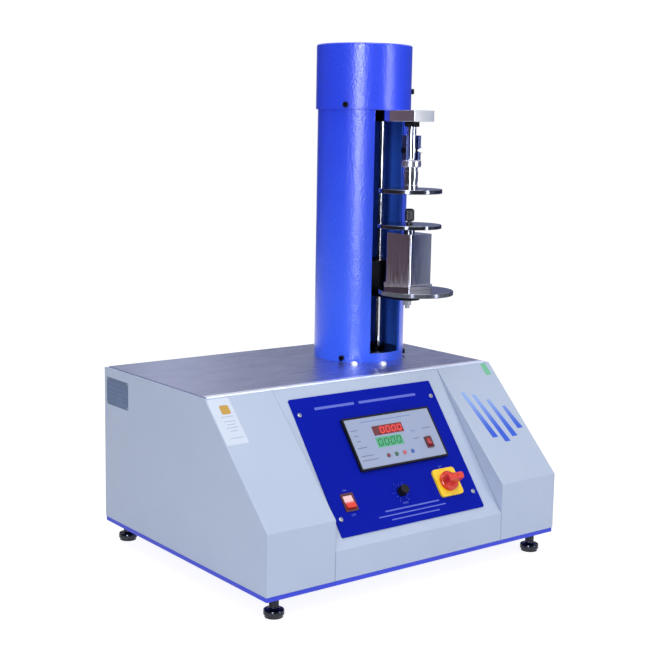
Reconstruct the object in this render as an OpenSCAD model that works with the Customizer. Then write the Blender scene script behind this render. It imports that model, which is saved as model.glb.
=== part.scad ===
// Bench tester for the crush strength of board and boxes.
// A sloping cabinet carries a slotted column. A screw inside the column lifts
// the lower platen towards an upper platen that hangs from a fixed arm.
// Units are millimetres, +Z is up, the front is -Y.
// The origin is on the floor, under the centre of the cabinet.

/* [Cabinet] */
// Width of the cabinet
body_w = 625; // [580:1:680]
// Depth of the cabinet
body_d = 510; // [480:1:560]
// Height of the sheet cabinet above its base tray
shell_h = 274; // [262:1:300]
// Height of the vertical front of the two wings
wing_front_h = 99; // [85:1:115]
// Height of the vertical front of the middle panel
bay_front_h = 48; // [42:1:60]
// Horizontal depth of the sloping front
slope_run = 176; // [170:1:190]
// Width of the recessed middle bay
bay_w = 364; // [352:1:380]
// Thickness of the cabinet sheet
sheet_t = 2; // [1.5:0.1:2.5]
// Gap on each side of the middle panel
seam = 0.8; // [0.4:0.1:1.5]
// Thickness of the stainless deck
deck_t = 2; // [1:0.5:3]
// Distance from the cabinet edge to the deck edge
deck_inset = 6; // [3:0.5:10]

/* [Base and feet] */
// Height of the levelling feet at rest
foot_h = 35; // [30:0.5:42]
// Height of the base tray
tray_h = 8; // [7:0.5:12]
// Thickness of the base tray sheet
tray_t = 3; // [2:0.5:4]
// Distance from the cabinet side to the tray side
tray_inset = 1; // [0:0.5:1]
// Distance from the cabinet's side to a foot's axis
foot_in_x = 31.5; // [29.5:0.5:50]
// Distance from the cabinet's front or back to a foot's axis
foot_in_y = 25; // [23:0.5:40]
// Diameter of a foot pad
pad_d = 33; // [28:1:38]
// Height of a foot pad
pad_h = 13; // [10:0.5:16]
// Diameter of a foot stud
stud_d = 16; // [12:1:18]

/* [Column] */
// Distance from the cabinet's right side to the column axis
col_side = 166.5; // [160:0.5:180]
// Distance from the cabinet's back to the column axis
col_back = 151.3; // [146:0.1:156]
// Outer diameter of the column tube
tube_d = 168.3; // [164:0.1:174]
// Wall of the column tube
tube_t = 5; // [4:0.5:6]
// Depth of the column tube inside its cap
tube_lap = 100; // [60:1:104]
// Width of the slot in the column
slot_w = 69; // [64:0.5:74]
// Height of the tube left under the slot
slot_sill = 16.8; // [15:0.1:24]
// Gap between the column tube and its cap
cap_gap = 0.8; // [0.4:0.1:1.2]
// Height of the column cap
cap_h = 117; // [110:0.1:130]
// Wall of the column cap
cap_t = 3; // [2:0.5:4]

/* [Lift] */
// Diameter of a guide rod
rod_d = 12; // [10:1:14]
// Distance between the guide rods
rod_span = 64; // [60:1:68]
// Distance from the column axis forward to the guide rods
rod_fwd = 19.7; // [17:0.1:23]
// Diameter of the lead screw
screw_d = 16; // [14:1:18]
// Distance from the column axis back to the lead screw
screw_back = 11.3; // [10:0.1:16]
// Thickness of the mounting plate under the deck
mount_t = 12; // [10:0.5:15]
// Thickness of the bulkhead under the cap
bulkhead_t = 12; // [11:0.5:15]
// Width of the carriage block
carriage_w = 100; // [94:1:106]
// Height of the carriage block
carriage_h = 60; // [50:1:66]
// Width of the platen arm
arm_w = 44; // [38:1:52]
// Thickness of the platen arm
arm_t = 12; // [10:0.5:14]
// Height of the arm's top face above the deck at rest
arm_z = 134.5; // [128:0.1:142]

/* [Platens] */
// Distance from the column axis forward to the load axis
load_fwd = 137.7; // [134:0.1:142]
// Diameter of the lower platen
lower_d = 134; // [124:1:136]
// Distance from the load axis forward to the lower platen's centre
lower_fwd = 22; // [20:0.5:26]
// Thickness of the lower platen
lower_t = 8; // [6:0.5:10]
// Diameter of the pressure disc
press_d = 115; // [105:1:118]
// Thickness of the pressure disc
press_t = 7; // [5:0.5:9]
// Diameter of the upper platen
upper_d = 114; // [105:1:118]
// Thickness of the upper platen
upper_t = 8; // [6:0.5:10]
// Height of the upper platen's face above the deck
upper_z = 313.7; // [310:0.1:320]
// Width of the steel block
block_w = 52; // [44:1:56]
// Depth of the steel block
block_l = 66; // [58:1:72]
// Height of the steel block
block_h = 90; // [84:1:94]
// Height of the block's foot
block_foot_h = 10; // [8:0.5:12]
// Height of the neck between block and pressure disc
neck_h = 9; // [7:0.5:11]
// Diameter of the clamp knob
clamp_d = 17; // [15:1:22]
// Height of the clamp knob
clamp_h = 22; // [16:1:24]

/* [Top arm and coupling] */
// Width of the top arm
bar_w = 46; // [40:1:48]
// Thickness of the top arm
bar_t = 20; // [16:0.5:22]
// Distance from the load axis forward to the arm's end
bar_fwd = 32; // [26:1:38]
// Diameter of the load rod
load_rod_d = 16; // [14:0.5:17]
// Height of the black lock nut
lock_nut_h = 9; // [7:0.5:11]
// Gap between the yoke and the lock nut
head_gap = 14.9; // [12:0.1:24]
// Diameter of the yoke's base
yoke_d = 36; // [34:0.5:38]
// Thickness of the yoke's base
yoke_base_t = 12; // [10:0.5:14]
// Height of the yoke's prongs above its base
prong_h = 44; // [40:0.5:46]
// Thickness of a prong
prong_t = 6; // [5:0.5:7]
// Depth of a prong
prong_l = 12; // [11:0.5:14]
// Diameter of the cross pin
pin_d = 7; // [6:0.5:8]
// Diameter of the ball on the cross pin
ball_d = 11; // [10:0.5:12]
// Diameter of the load cell
cell_d = 26; // [22:0.5:30]
// Height of the load cell
cell_h = 38; // [36:0.5:40]

/* [Control panel] */
// Width of the control plate
panel_w = 310; // [306:1:320]
// Height of the control plate along the slope
panel_h = 247; // [244:1:252]
// Sideways place of the control plate's centre
panel_x = -5.6; // [-8:0.1:0]
// Distance up the slope to the plate's lower edge
panel_rise = 18.5; // [15:0.5:22]
// Thickness of the control plate
panel_t = 2; // [1.5:0.1:3]
// Distance from the plate's side to a screw
panel_screw_in = 10.6; // [8:0.1:14]
// Distance from the plate's end to a screw
panel_screw_end = 30; // [24:0.5:40]
// Width of the meter's frame
meter_w = 192; // [186:1:196]
// Height of the meter's frame
meter_h = 96; // [94:1:100]
// Thickness of the meter's frame
meter_t = 6; // [5:0.5:9]
// Rim of the meter's frame round its white face
meter_rim = 3; // [2:0.5:4]
// Depth of the meter's case behind the plate
meter_depth = 85; // [60:1:95]
// Sideways place of the meter's centre
meter_x = 20; // [16:0.5:24]
// Distance up the slope to the meter's centre
meter_rise = 167; // [163:0.1:171]
// Thickness of the meter's face sheet
face_t = 1.2; // [0.8:0.1:2]
// Diameter of a key
key_d = 7; // [6:0.5:8]
// Distance between the keys
key_pitch = 17.8; // [15:0.1:19]
// Stroke of a key
key_stroke = 1; // [0.6:0.1:1.2]
// Width of the power rocker switch
rocker_w = 25.5; // [22:0.5:28]
// Height of the power rocker switch
rocker_h = 31; // [28:0.5:34]
// Width of the meter's rocker switch
tare_w = 15; // [13:0.5:17]
// Height of the meter's rocker switch
tare_h = 21; // [19:0.5:23]
// Diameter of the speed knob
dial_d = 17; // [14:0.5:20]
// Height of the speed knob
dial_h = 14; // [10:0.5:16]
// Side of the yellow isolator plate
iso_w = 50; // [46:0.5:52]
// Thickness of the isolator plate
iso_t = 4; // [3:0.5:6]
// Diameter of the isolator handle's base
iso_base_d = 35; // [30:0.5:38]
// Height of the isolator handle
iso_grip_h = 25; // [18:0.5:28]

/* [Drive] */
// Teeth on the screw pulley
driven_teeth = 40; // [36:1:44]
// Teeth on the motor pulley
drive_teeth = 20; // [16:1:22]
// Tooth pitch of the timing belt
belt_pitch = 5; // [5:0.1:5.4]
// Width of the timing belt
belt_w = 10; // [8:0.5:12]
// Distance between the motor axis and the screw axis
motor_gap = 110; // [104:1:116]
// Side of the square motor
motor_w = 86; // [76:1:90]
// Length of the motor
motor_l = 112; // [90:1:120]

/* [Hidden] */
$fn = 64;

// Clearances and small overlaps used by the cuts
eps = 1;
seat_gap = 0.3;
run_gap = 0.05;
bolt_gap = 0.5;
cut_gap = 1;
cover_gap = 1;

// Heights from the floor
tray_z = foot_h;
floor_z = tray_z + tray_t;
shell_z = tray_z + tray_h;
foot_span_x = body_w - 2 * foot_in_x;
foot_span_y = body_d - 2 * foot_in_y;
shell_top = shell_z + shell_h;
deck_z = shell_top + deck_t;

// Outline of the cabinet, seen from the side
flange_w = 14;
panel_corner = 3;
rear_recess = 6;
lip_w = 12;
foot_nut_h = 10;
stud_proud = 2;
sole_in = 2;
sole_h = 3.5;
foot_fillet = 3;
pad_c = 1;
screw_shank_d = 4;
screw_head_r = 4;
screw_head_h = 2.2;
screw_rim_h = 1;
screw_dome_in = 1.2;
screw_bite = 1;
head_bite = 0.5;
vent_rows = 8;
vent_pitch = 12;
vent_z = 150;
vent_l = 100;
vent_h = 5;
front_y = -body_d / 2;
back_y = body_d / 2;
ridge_y = front_y + slope_run;
wing_z = shell_z + wing_front_h;
bay_z = shell_z + bay_front_h;
bay_rise = shell_top - bay_z;
bay_angle = atan2(bay_rise, slope_run);
wing_angle = atan2(shell_top - wing_z, slope_run);
nut_across = 1.5 * stud_d;

// Column and lift
slot_over = 12;
arm_gap = 0.4;
arm_clear = 8;
cap_c = 2;
ring_h = 14;
throat_r = 52;
spigot_gap = 0.1;
foot_screw_angles = [-60, 60, 180];
cap_screw_low = 8;
cap_screw_high = 35;
column_screw_d = 6;
column_head_r = 5;
column_head_h = 5;
column_head_c = 1;
hex_key = 5;
hex_deep = 3;
thread_hold = 10;
bulkhead_bite = 9;
bush_h = 20;
screw_groove = 10;
thread_clear = 14;
top_bearing_t = 8;
bearing_gap = 1;
bar_bolt_back = 32;
bar_bolt_span = 34;
bolt_across = 13;
bolt_head_h = 5;
bearing_wall = 9.5;
bush_wall = 5;
nut_wall = 6;
screw_step = 2;
col_x = body_w / 2 - col_side;
col_y = back_y - col_back;
tube_r = tube_d / 2;
bore_r = tube_r - tube_t;
slot_low = deck_z + slot_sill;
load_y = col_y - load_fwd;
rod_y = col_y - rod_fwd;
screw_y = col_y + screw_back;
bar_end_y = screw_y - screw_d / 2 - arm_clear;
mount_top = shell_top - sheet_t;
mount_low = mount_top - mount_t;
cap_r = tube_r + cap_gap + cap_t;
bush_r = rod_d / 2 + bush_wall;
nut_r = screw_d / 2 + nut_wall;
screw_end_d = screw_d - 2 * screw_step;
bearing_r = screw_d / 2 + bearing_wall;
top_bearing_r = screw_end_d / 2 + nut_wall + screw_step;

// Frame posts inside the cabinet
post_w = 30;
post_t = 2.5;
post_span_x = 256;
post_span_y = 160;
frame_left = 33;
rail_z = 20;
rail_bite = 1;
post_mid_x = col_x - frame_left;

carriage_front = 7;
carriage_back = 3;

// Platens
stem_h = 5.5;
stem_collar_h = 2;
stem_collar_d = 13;
platen_c = 0.8;
bolt_end = 2;
bolt_tail = 6;
washer_t = 2;
washer_d = 17;
platen_nut_h = 8;
block_step = 2;
block_corner = 3;
neck_d = 20;
knob_flutes = 24;
knob_flute = 0.5;
knob_foot_c = 2;
knob_top_c = 3;
cone_clear = 0.1;
stem_d = 8;
pin_down = 26.5;
rod_clear = 2;
yoke_c = 1;
lock_across = 24;
stud_sink = 2;
pin_head_d = 11;
pin_head_t = 2.2;
ball_share = 0.82;
cell_foot_h = 6;
cell_neck_h = 6;
cell_neck = 0.8;
cell_c = 0.8;
platen_bolt_d = 8;
clamp_stud_l = 14;
arm_top = deck_z + arm_z;
arm_low = arm_top - arm_t;
lower_y = load_y - lower_fwd;
block_z = arm_top + lower_t;
block_top = block_z + block_foot_h + block_h;
press_z = block_top + neck_h;
press_top = press_z + press_t;
clamp_z = press_top + stem_h;
upper_face = deck_z + upper_z;
cell_z = upper_face + upper_t;
yoke_z = cell_z + cell_h;
yoke_top = yoke_z + yoke_base_t + prong_h;
bar_low = yoke_top + head_gap + lock_nut_h;
bar_top = bar_low + bar_t;
cap_low = bar_top + arm_gap;
tube_h = cap_low + tube_lap - deck_z;
slot_high = cap_low + slot_over;
cap_screws = [[-60, cap_screw_low], [54, cap_screw_high], [180, cap_screw_low]];
pin_z = yoke_top - pin_down;
load_rod_low = yoke_z + yoke_base_t + rod_clear;
prong_x = yoke_d / 2 - prong_t / 2 - yoke_c;
load_stud_d = load_rod_d - 2 * stud_sink;

// Drive
pulley_gap = 6;
hub_h = 6;
hub_wall = 6;
tooth_h = 1.2;
flange_t = 1.5;
flange_bite = 0.1;
motor_clear = 8;
motor_corner = 6;
motor_flange_t = 10;
motor_end_t = 16;
motor_step = 6;
shaft_in = 16;
bracket_t = 6;
motor_shaft_r = 6;
belt_gap = 0.4;
belt_side_gap = 0.4;
belt_steps = 24;
belt_back = 1.6;
pulley_z = mount_low - pulley_gap - belt_w;
motor_x = col_x - motor_gap;
bracket_low = pulley_z - motor_clear - bracket_t;
drive_r = drive_teeth * belt_pitch / 2 / PI;
driven_r = driven_teeth * belt_pitch / 2 / PI;

// Panel parts
switch_rise = 73.5;
tare_right = 65.5;
tare_down = 18;
key_left = 30.1;
key_down = 28.7;
red_left = 9;
red_up = 18.3;
green_left = 15;
green_down = 3.4;
iso_x = 91;
dial_x = -11.3;
power_x = -122;
key_sink = 2.5;
key_proud = 1.5;
key_c = 0.5;
throw_angle = 12;
switch_rim_t = 2;
switch_rim_in = 2;
switch_corner = 1.5;
switch_wall = 1.5;
switch_end_wall = 1.2;
pivot_d = 3;
pivot_reach = 0.8;
rocker_end_gap = 1.3;
rocker_under = 2;
rocker_belly = 3;
rocker_rise = 3.4;
rocker_dip = 2.2;
power_deep = 24;
tare_deep = 12;
tare_lap = 1.4;
edge_gap = 0.2;
meter_corner = 2;
face_corner = 1;
meter_step = 3;
red_w = 66;
red_h = 17.5;
green_w = 57;
green_h = 18.7;
bush_d = 9.5;
bush_proud = 2;
control_d = 17;
control_deep = 12;
shaft_reach = 9;
dial_shaft_d = 6;
dial_flutes = 20;
dial_taper = 0.6;
dial_c = 1;
dial_socket = 4;
dial_bite = 5;
line_w = 0.8;
line_deep = 0.5;
line_start = 0.35;
iso_neck_d = 22;
iso_shaft_d = 8;
iso_deep = 50;
iso_corner = 6;
iso_in = 2;
iso_groove = 0.6;
iso_groove_w = 1;
iso_groove_in = 2.5;
iso_shaft_reach = 18;
iso_base_h = 8;
iso_base_rim = 5;
iso_base_c = 3;
grip_w = 15;
grip_top_w = 9;
grip_c = 2;
panel_mid = panel_rise + panel_h / 2;
tare_x = meter_x + tare_right;
tare_rise = meter_rise - tare_down;
key_x0 = meter_x - key_left;
key_rise = meter_rise - key_down;
key_pocket = key_sink + key_stroke + key_c;
face_sink = face_t + 0.5;
face_w = meter_w - 2 * meter_rim;
face_h = meter_h - 2 * meter_rim;
case_w = meter_w - 2 * meter_step;
case_h = meter_h - 2 * meter_step;
red_x = meter_x - red_left;
red_rise = meter_rise + red_up;
green_x = meter_x - green_left;
green_rise = meter_rise - green_down;

// Electrical parts
inlet_side = 112.5;
inlet_z = 110;
inlet_w = 60;
inlet_h = 28;
inlet_deep = 25;
inlet_body_w = 30;
inlet_body_h = 22;
inlet_t = 2;
inlet_ear = 14;
inlet_floor = 3;
pole_pitch = 7;
pole_w = 4;
pole_t = 2;
pole_h = 13;
socket_w = 25;
socket_h = 17;
supply_side = 110;
supply_back = 195;
supply_w = 110;
supply_l = 190;
supply_h = 50;
supply_flange_w = 128;
supply_flange_l = 150;
supply_flange_t = 2;
supply_slots = 12;
supply_slot_pitch = 12;
supply_slot_l = 70;
supply_slot_w = 4;
supply_slot_deep = 4;
inlet_x = inlet_side - body_w / 2;
supply_x = supply_side - body_w / 2;
supply_y = back_y - supply_back;

// Frame of the sloping middle panel: X across, Y up the slope, Z outwards
module on_bay(x = 0, rise = 0, out = 0) {
    translate([0, front_y, bay_z])
        rotate([bay_angle, 0, 0])
            translate([x, rise, out])
                children();
}

// Frame on the column axis, at a height above the floor
module on_column(z) {
    translate([col_x, col_y, z])
        children();
}

// Frame on the load axis, at a height above the floor
module on_load_axis(z) {
    translate([col_x, load_y, z])
        children();
}

// Copies at the four corners of a rectangle
module at_corners(w, h) {
    for (sx = [-1, 1])
        for (sy = [-1, 1])
            translate([sx * w / 2, sy * h / 2, 0])
                children();
}

// Copies to the left and right
module both_sides(x) {
    for (s = [-1, 1])
        translate([s * x, 0, 0])
            children();
}

module round_plate(w, h, t, r) {
    linear_extrude(t) {
        square([w - 2 * r, h], center = true);
        square([w, h - 2 * r], center = true);
        at_corners(w - 2 * r, h - 2 * r)
            circle(r);
    }
}

// Block centred in X and Y, standing on Z = 0
module block(w, d, h) {
    translate([-w / 2, -d / 2, 0])
        cube([w, d, h]);
}

// Hexagonal prism across the flats
module hex_prism(across, h) {
    cylinder(h = h, d = across / cos(30), $fn = 6);
}

// Ring with a round hole
module ring(r_out, r_in, h) {
    difference() {
        cylinder(h = h, r = r_out);
        translate([0, 0, -eps])
            cylinder(h = h + 2 * eps, r = r_in);
    }
}

// Disc with a small chamfer on both edges
module chamfered_disc(r, t, c) {
    rotate_extrude()
        polygon([[0, 0], [r - c, 0], [r, c], [r, t - c], [r - c, t], [0, t]]);
}

// Point at a radius and an angle
function polar(r, a) = [r * cos(a), r * sin(a)];

// Outline with V grooves, such as a knurled grip
function fluted(r, depth, n) = [for (i = [0 : 2 * n - 1]) polar(r - depth * (i % 2), i * 180 / n)];

// Outline of a toothed pulley with a flat on each tooth and in each gap
function toothed(r, depth, n) = [
    for (i = [0 : n - 1])
        for (k = [0 : 3])
            polar(k < 2 ? r : r - depth, (i + [0, 0.4, 0.55, 0.85][k]) * 360 / n)
];

// Extrudes a side outline across the width
module across(w) {
    translate([-w / 2, 0, 0])
        rotate([90, 0, 90])
            linear_extrude(w)
                children();
}

// Cabinet

// Side outline of the cabinet in Y and Z, drawn in by a wall and open at the back
module cabinet_outline(wall, back, low = shell_z) {
    polygon([
        [front_y + wall, low],
        [front_y + wall, wing_z - wall * tan((90 - wing_angle) / 2)],
        [ridge_y + wall * tan(wing_angle / 2), shell_top - wall],
        [back, shell_top - wall],
        [back, low]
    ]);
}

// Everything in front of the middle panel's face, moved in by a depth
module bay_front(depth) {
    polygon([
        [front_y + depth, shell_z - eps],
        [front_y + depth, bay_z - depth * tan((90 - bay_angle) / 2)],
        [ridge_y + depth / sin(bay_angle), shell_top],
        [ridge_y + depth / sin(bay_angle), shell_top + eps],
        [front_y - eps, shell_top + eps],
        [front_y - eps, shell_z - eps]
    ]);
}

module base_tray() {
    w = body_w - 2 * tray_inset;
    d = body_d - 2 * tray_inset;
    color("royalblue")
        difference() {
            translate([0, 0, tray_z])
                block(w, d, tray_h);
            translate([0, 0, floor_z])
                block(w - 2 * tray_t, d - 2 * tray_t, tray_h);
            translate([0, 0, tray_z - eps])
                at_corners(foot_span_x, foot_span_y)
                    cylinder(h = tray_h, d = stud_d + bolt_gap);
        }
}

// Levelling foot: round pad and stud, turned from one bar
module foot(sx, sy) {
    base_r = pad_d / 2 - sole_in;
    neck_r = stud_d / 2 + foot_fillet;
    stud_top = floor_z + foot_nut_h + stud_proud;
    color("silver")
        translate([sx * foot_span_x / 2, sy * foot_span_y / 2, 0])
            rotate_extrude()
                polygon([
                    [0, 0], [base_r, 0], [base_r, sole_h], [pad_d / 2 - pad_c, sole_h],
                    [pad_d / 2, sole_h + pad_c], [pad_d / 2, pad_h - 2 * pad_c],
                    [pad_d / 2 - 2 * pad_c, pad_h], [neck_r, pad_h],
                    [stud_d / 2, pad_h + foot_fillet], [stud_d / 2, stud_top], [0, stud_top]
                ]);
}

module foot_lock_nuts() {
    color("dimgray")
        translate([0, 0, floor_z])
            at_corners(foot_span_x, foot_span_y)
                difference() {
                    hex_prism(nut_across, foot_nut_h);
                    translate([0, 0, -eps])
                        cylinder(h = foot_nut_h + 2 * eps, d = stud_d + 2 * run_gap);
                }
}

module cabinet_shell() {
    inner_w = body_w - 2 * sheet_t;
    rear_y = back_y - rear_recess;
    color("lightsteelblue") {
        difference() {
            across(body_w)
                cabinet_outline(0, back_y);
            across(inner_w)
                cabinet_outline(sheet_t, back_y + eps, shell_z - eps);
            across(bay_w)
                bay_front(sheet_t);
            on_column(shell_top - 2 * sheet_t)
                cylinder(h = 3 * sheet_t, r = throat_r);
        }
        // Walls of the bay, from the wing down to the lip behind the panel
        both_sides(bay_w / 2 + sheet_t / 2)
            across(sheet_t)
                intersection() {
                    cabinet_outline(0, back_y);
                    bay_front(3 * sheet_t);
                }
        // Lips that the middle panel seats on
        both_sides(bay_w / 2 - lip_w / 2 + sheet_t / 2)
            across(lip_w + sheet_t)
                intersection() {
                    cabinet_outline(sheet_t / 2, back_y);
                    difference() {
                        bay_front(2 * sheet_t);
                        bay_front(sheet_t);
                    }
                }
        // Flange round the rear opening
        difference() {
            translate([-inner_w / 2 - sheet_t / 2, rear_y - sheet_t, shell_z])
                cube([inner_w + sheet_t, sheet_t, shell_h - sheet_t / 2]);
            translate([-inner_w / 2 + flange_w, rear_y - sheet_t - eps, shell_z + flange_w])
                cube([inner_w - 2 * flange_w, sheet_t + 2 * eps, shell_h - sheet_t - 2 * flange_w]);
            at_rear_screws()
                rear_hole();
        }
        // Foot flanges along the sides, which stand on the tray
        both_sides(inner_w / 2 - flange_w / 2 + sheet_t / 4)
            translate([0, (front_y + rear_y) / 2, shell_z])
                block(flange_w + sheet_t / 2, rear_y - front_y - 2 * sheet_t, sheet_t);
    }
}

module front_panel() {
    w = bay_w - 2 * seam;
    color("lightsteelblue")
        difference() {
            across(w)
                difference() {
                    bay_front(sheet_t);
                    bay_front(0);
                    translate([front_y - 2 * eps, shell_z - 2 * eps])
                        square([body_d, 2 * eps]);
                    translate([front_y - 2 * eps, shell_top])
                        square([body_d, 2 * eps]);
                }
            panel_cutouts(-2 * sheet_t, 3 * sheet_t);
        }
}

// Openings for the instruments, shared by the middle panel and the control plate
module panel_cutouts(out, depth) {
    on_bay(meter_x, meter_rise, out)
        block(case_w + cut_gap, case_h + cut_gap, depth);
    on_bay(power_x, switch_rise, out)
        block(rocker_w - 2 * switch_rim_in + bolt_gap, rocker_h - 2 * switch_rim_in + bolt_gap, depth);
    on_bay(dial_x, switch_rise, out)
        cylinder(h = depth, d = bush_d + bolt_gap);
    on_bay(iso_x, switch_rise, out)
        cylinder(h = depth, d = iso_neck_d + bolt_gap);
    on_bay(panel_x, panel_mid, out)
        at_panel_screws()
            cylinder(h = depth, d = screw_shank_d + bolt_gap);
}

module at_panel_screws() {
    at_corners(panel_w - 2 * panel_screw_in, panel_h - 2 * panel_screw_end)
        children();
}

module deck_plate() {
    w = body_w - 2 * deck_inset;
    d = back_y - ridge_y - 2 * deck_inset;
    color("lightslategray")
        difference() {
            translate([0, (ridge_y + back_y) / 2, shell_top])
                block(w, d, deck_t);
            on_column(shell_top - eps)
                cylinder(h = deck_t + 2 * eps, r = throat_r);
        }
}

// Places of the rear cover's screws, on the cover's outer face
module at_rear_screws() {
    z_mid = (shell_z + shell_top) / 2;
    for (x = [-1, 0, 1])
        for (sz = [-1, 1])
            translate([
                x * (body_w / 2 - sheet_t - flange_w / 2),
                back_y - rear_recess + sheet_t,
                z_mid + sz * (shell_h / 2 - sheet_t / 2 - flange_w / 2 - cover_gap)
            ])
                rotate([-90, 0, 0])
                    children();
}

module rear_hole() {
    translate([0, 0, -3 * sheet_t])
        cylinder(h = 4 * sheet_t, d = screw_shank_d + bolt_gap);
}

module rear_cover() {
    w = body_w - 2 * sheet_t - 2 * cover_gap;
    h = shell_h - sheet_t - 2 * cover_gap;
    color("lightsteelblue")
        difference() {
            translate([-w / 2, back_y - rear_recess, shell_z + cover_gap])
                cube([w, sheet_t, h]);
            at_rear_screws()
                rear_hole();
            // Two banks of cooling slots
            for (sx = [-1, 1])
                for (i = [0 : vent_rows - 1])
                    translate([sx * body_w / 4, back_y - rear_recess - eps, vent_z + i * vent_pitch])
                        rotate([-90, 0, 0])
                            linear_extrude(sheet_t + 2 * eps) {
                                square([vent_l - vent_h, vent_h], center = true);
                                both_sides((vent_l - vent_h) / 2)
                                    circle(d = vent_h);
                            }
            translate([inlet_x, back_y - rear_recess - eps, inlet_z])
                rotate([-90, 0, 0])
                    linear_extrude(sheet_t + 2 * eps)
                        square([inlet_body_w + cut_gap, inlet_body_h + cut_gap], center = true);
        }
}

// Pan head screw with its head on Z = 0 and its shank below
module pan_screw(length) {
    translate([0, 0, -length])
        cylinder(h = length + head_bite, d = screw_shank_d);
    rotate_extrude()
        polygon([
            [0, 0], [screw_head_r, 0], [screw_head_r, screw_rim_h],
            [screw_head_r - screw_dome_in, screw_head_h], [0, screw_head_h]
        ]);
}

module cover_screws() {
    color("silver") {
        on_bay(panel_x, panel_mid, panel_t)
            at_panel_screws()
                pan_screw(panel_t + sheet_t + screw_bite);
        at_rear_screws()
            pan_screw(2 * sheet_t + screw_bite);
    }
}

module control_plate() {
    color("mediumblue")
        difference() {
            on_bay(panel_x, panel_mid)
                round_plate(panel_w, panel_h, panel_t, panel_corner);
            panel_cutouts(-eps, panel_t + 2 * eps);
        }
}

// Frame inside the cabinet

module support_frame() {
    post_h = mount_low - floor_z;
    color("slategray")
        translate([post_mid_x, screw_y, floor_z]) {
            at_corners(post_span_x, post_span_y)
                difference() {
                    block(post_w, post_w, post_h);
                    translate([0, 0, post_t])
                        block(post_w - 2 * post_t, post_w - 2 * post_t, post_h - 2 * post_t);
                }
            // Cross rails between the posts
            for (sy = [-1, 1])
                translate([0, sy * post_span_y / 2, rail_z])
                    block(post_span_x - post_w + rail_bite, post_w / 2, post_w);
            for (sx = [-1, 1])
                translate([sx * post_span_x / 2, 0, rail_z])
                    block(post_w / 2, post_span_y - post_w + rail_bite, post_w);
        }
}

module mounting_plate() {
    color("gray")
        difference() {
            translate([post_mid_x, screw_y, mount_low])
                block(post_span_x + post_w, post_span_y + post_w, mount_t);
            at_rods()
                translate([0, 0, mount_low - eps])
                    cylinder(h = mount_t + 2 * eps, d = rod_d + 2 * run_gap);
            at_screw(mount_low - eps)
                cylinder(h = mount_t + 2 * eps, r = bearing_r + run_gap);
        }
}

module at_rods() {
    for (s = [-1, 1])
        translate([col_x + s * rod_span / 2, rod_y, 0])
            children();
}

module at_screw(z) {
    translate([col_x, screw_y, z])
        children();
}

// Column

// Screw with a domed head, set radially in the column at an angle from the front
module at_column_screw(angle, z, r) {
    on_column(z)
        rotate([0, 0, angle])
            translate([0, -r, 0])
                rotate([90, 0, 0])
                    children();
}

module column_screw_holes(r, depth) {
    for (a = foot_screw_angles)
        at_column_screw(a, deck_z + ring_h / 2, r)
            translate([0, 0, -depth])
                cylinder(h = depth + eps, d = column_screw_d + bolt_gap);
    for (s = cap_screws)
        at_column_screw(s[0], cap_low + s[1], r)
            translate([0, 0, -depth])
                cylinder(h = depth + eps, d = column_screw_d + bolt_gap);
}

module column_tube() {
    color("royalblue")
        difference() {
            on_column(deck_z)
                ring(tube_r, bore_r, tube_h);
            translate([col_x - slot_w / 2, col_y - 2 * tube_r, slot_low])
                cube([slot_w, 2 * tube_r, slot_high - slot_low]);
            column_screw_holes(tube_r, tube_t + eps);
        }
}

module column_foot_ring() {
    color("dimgray")
        difference() {
            on_column(deck_z)
                ring(bore_r - spigot_gap, throat_r, ring_h);
            column_screw_holes(tube_r, tube_t + thread_hold + 2 * eps);
        }
}

module column_cap() {
    color("royalblue")
        difference() {
            on_column(cap_low)
                rotate_extrude()
                    polygon([
                        [0, cap_h - cap_t], [cap_r - cap_t, cap_h - cap_t], [cap_r - cap_t, 0],
                        [cap_r, 0], [cap_r, cap_h - cap_c], [cap_r - cap_c, cap_h], [0, cap_h]
                    ]);
            column_screw_holes(cap_r, cap_t + 2 * eps);
        }
}

// Cap screw with its head just off Z = 0, its shank below and a hexagon recess
module cap_screw(length) {
    top = seat_gap + column_head_h;
    translate([0, 0, -length])
        cylinder(h = length + head_bite, d = column_screw_d);
    difference() {
        rotate_extrude()
            polygon([
                [0, seat_gap], [column_head_r, seat_gap], [column_head_r, top - column_head_c],
                [column_head_r - column_head_c, top], [0, top]
            ]);
        translate([0, 0, top - hex_deep])
            hex_prism(hex_key, hex_deep + eps);
    }
}

module column_screws() {
    color("black") {
        for (a = foot_screw_angles)
            at_column_screw(a, deck_z + ring_h / 2, tube_r)
                cap_screw(tube_t + thread_hold);
        for (s = cap_screws)
            at_column_screw(s[0], cap_low + s[1], cap_r)
                cap_screw(cap_t + cap_gap + tube_t + (s[1] > bulkhead_t ? screw_bite : bulkhead_bite));
    }
}

module bulkhead() {
    color("gray")
        difference() {
            union() {
                on_column(bar_top)
                    cylinder(h = bulkhead_t, r = bore_r - spigot_gap);
                // Heads of the bolts that hold the top arm
                translate([col_x, bar_end_y - bar_bolt_back, bar_top + bulkhead_t - eps])
                    at_corners(bar_w / 2, bar_bolt_span)
                        hex_prism(bolt_across, bolt_head_h + eps);
            }
            at_rods()
                translate([0, 0, bar_top - eps])
                    cylinder(h = bulkhead_t + 2 * eps, d = rod_d + 2 * run_gap);
            at_screw(bar_top - eps)
                cylinder(h = top_bearing_t + eps, r = top_bearing_r + run_gap);
            for (a = [cap_screws[0][0], cap_screws[2][0]])
                at_column_screw(a, cap_low + cap_screws[0][1], tube_r)
                    translate([0, 0, -tube_t - thread_hold - eps])
                        cylinder(h = tube_t + thread_hold + 2 * eps, d = column_screw_d + bolt_gap);
        }
}

// Lift

module guide_rods() {
    color("whitesmoke")
        at_rods()
            translate([0, 0, mount_low])
                cylinder(h = bar_top + bulkhead_t - mount_low, d = rod_d);
}

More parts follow.
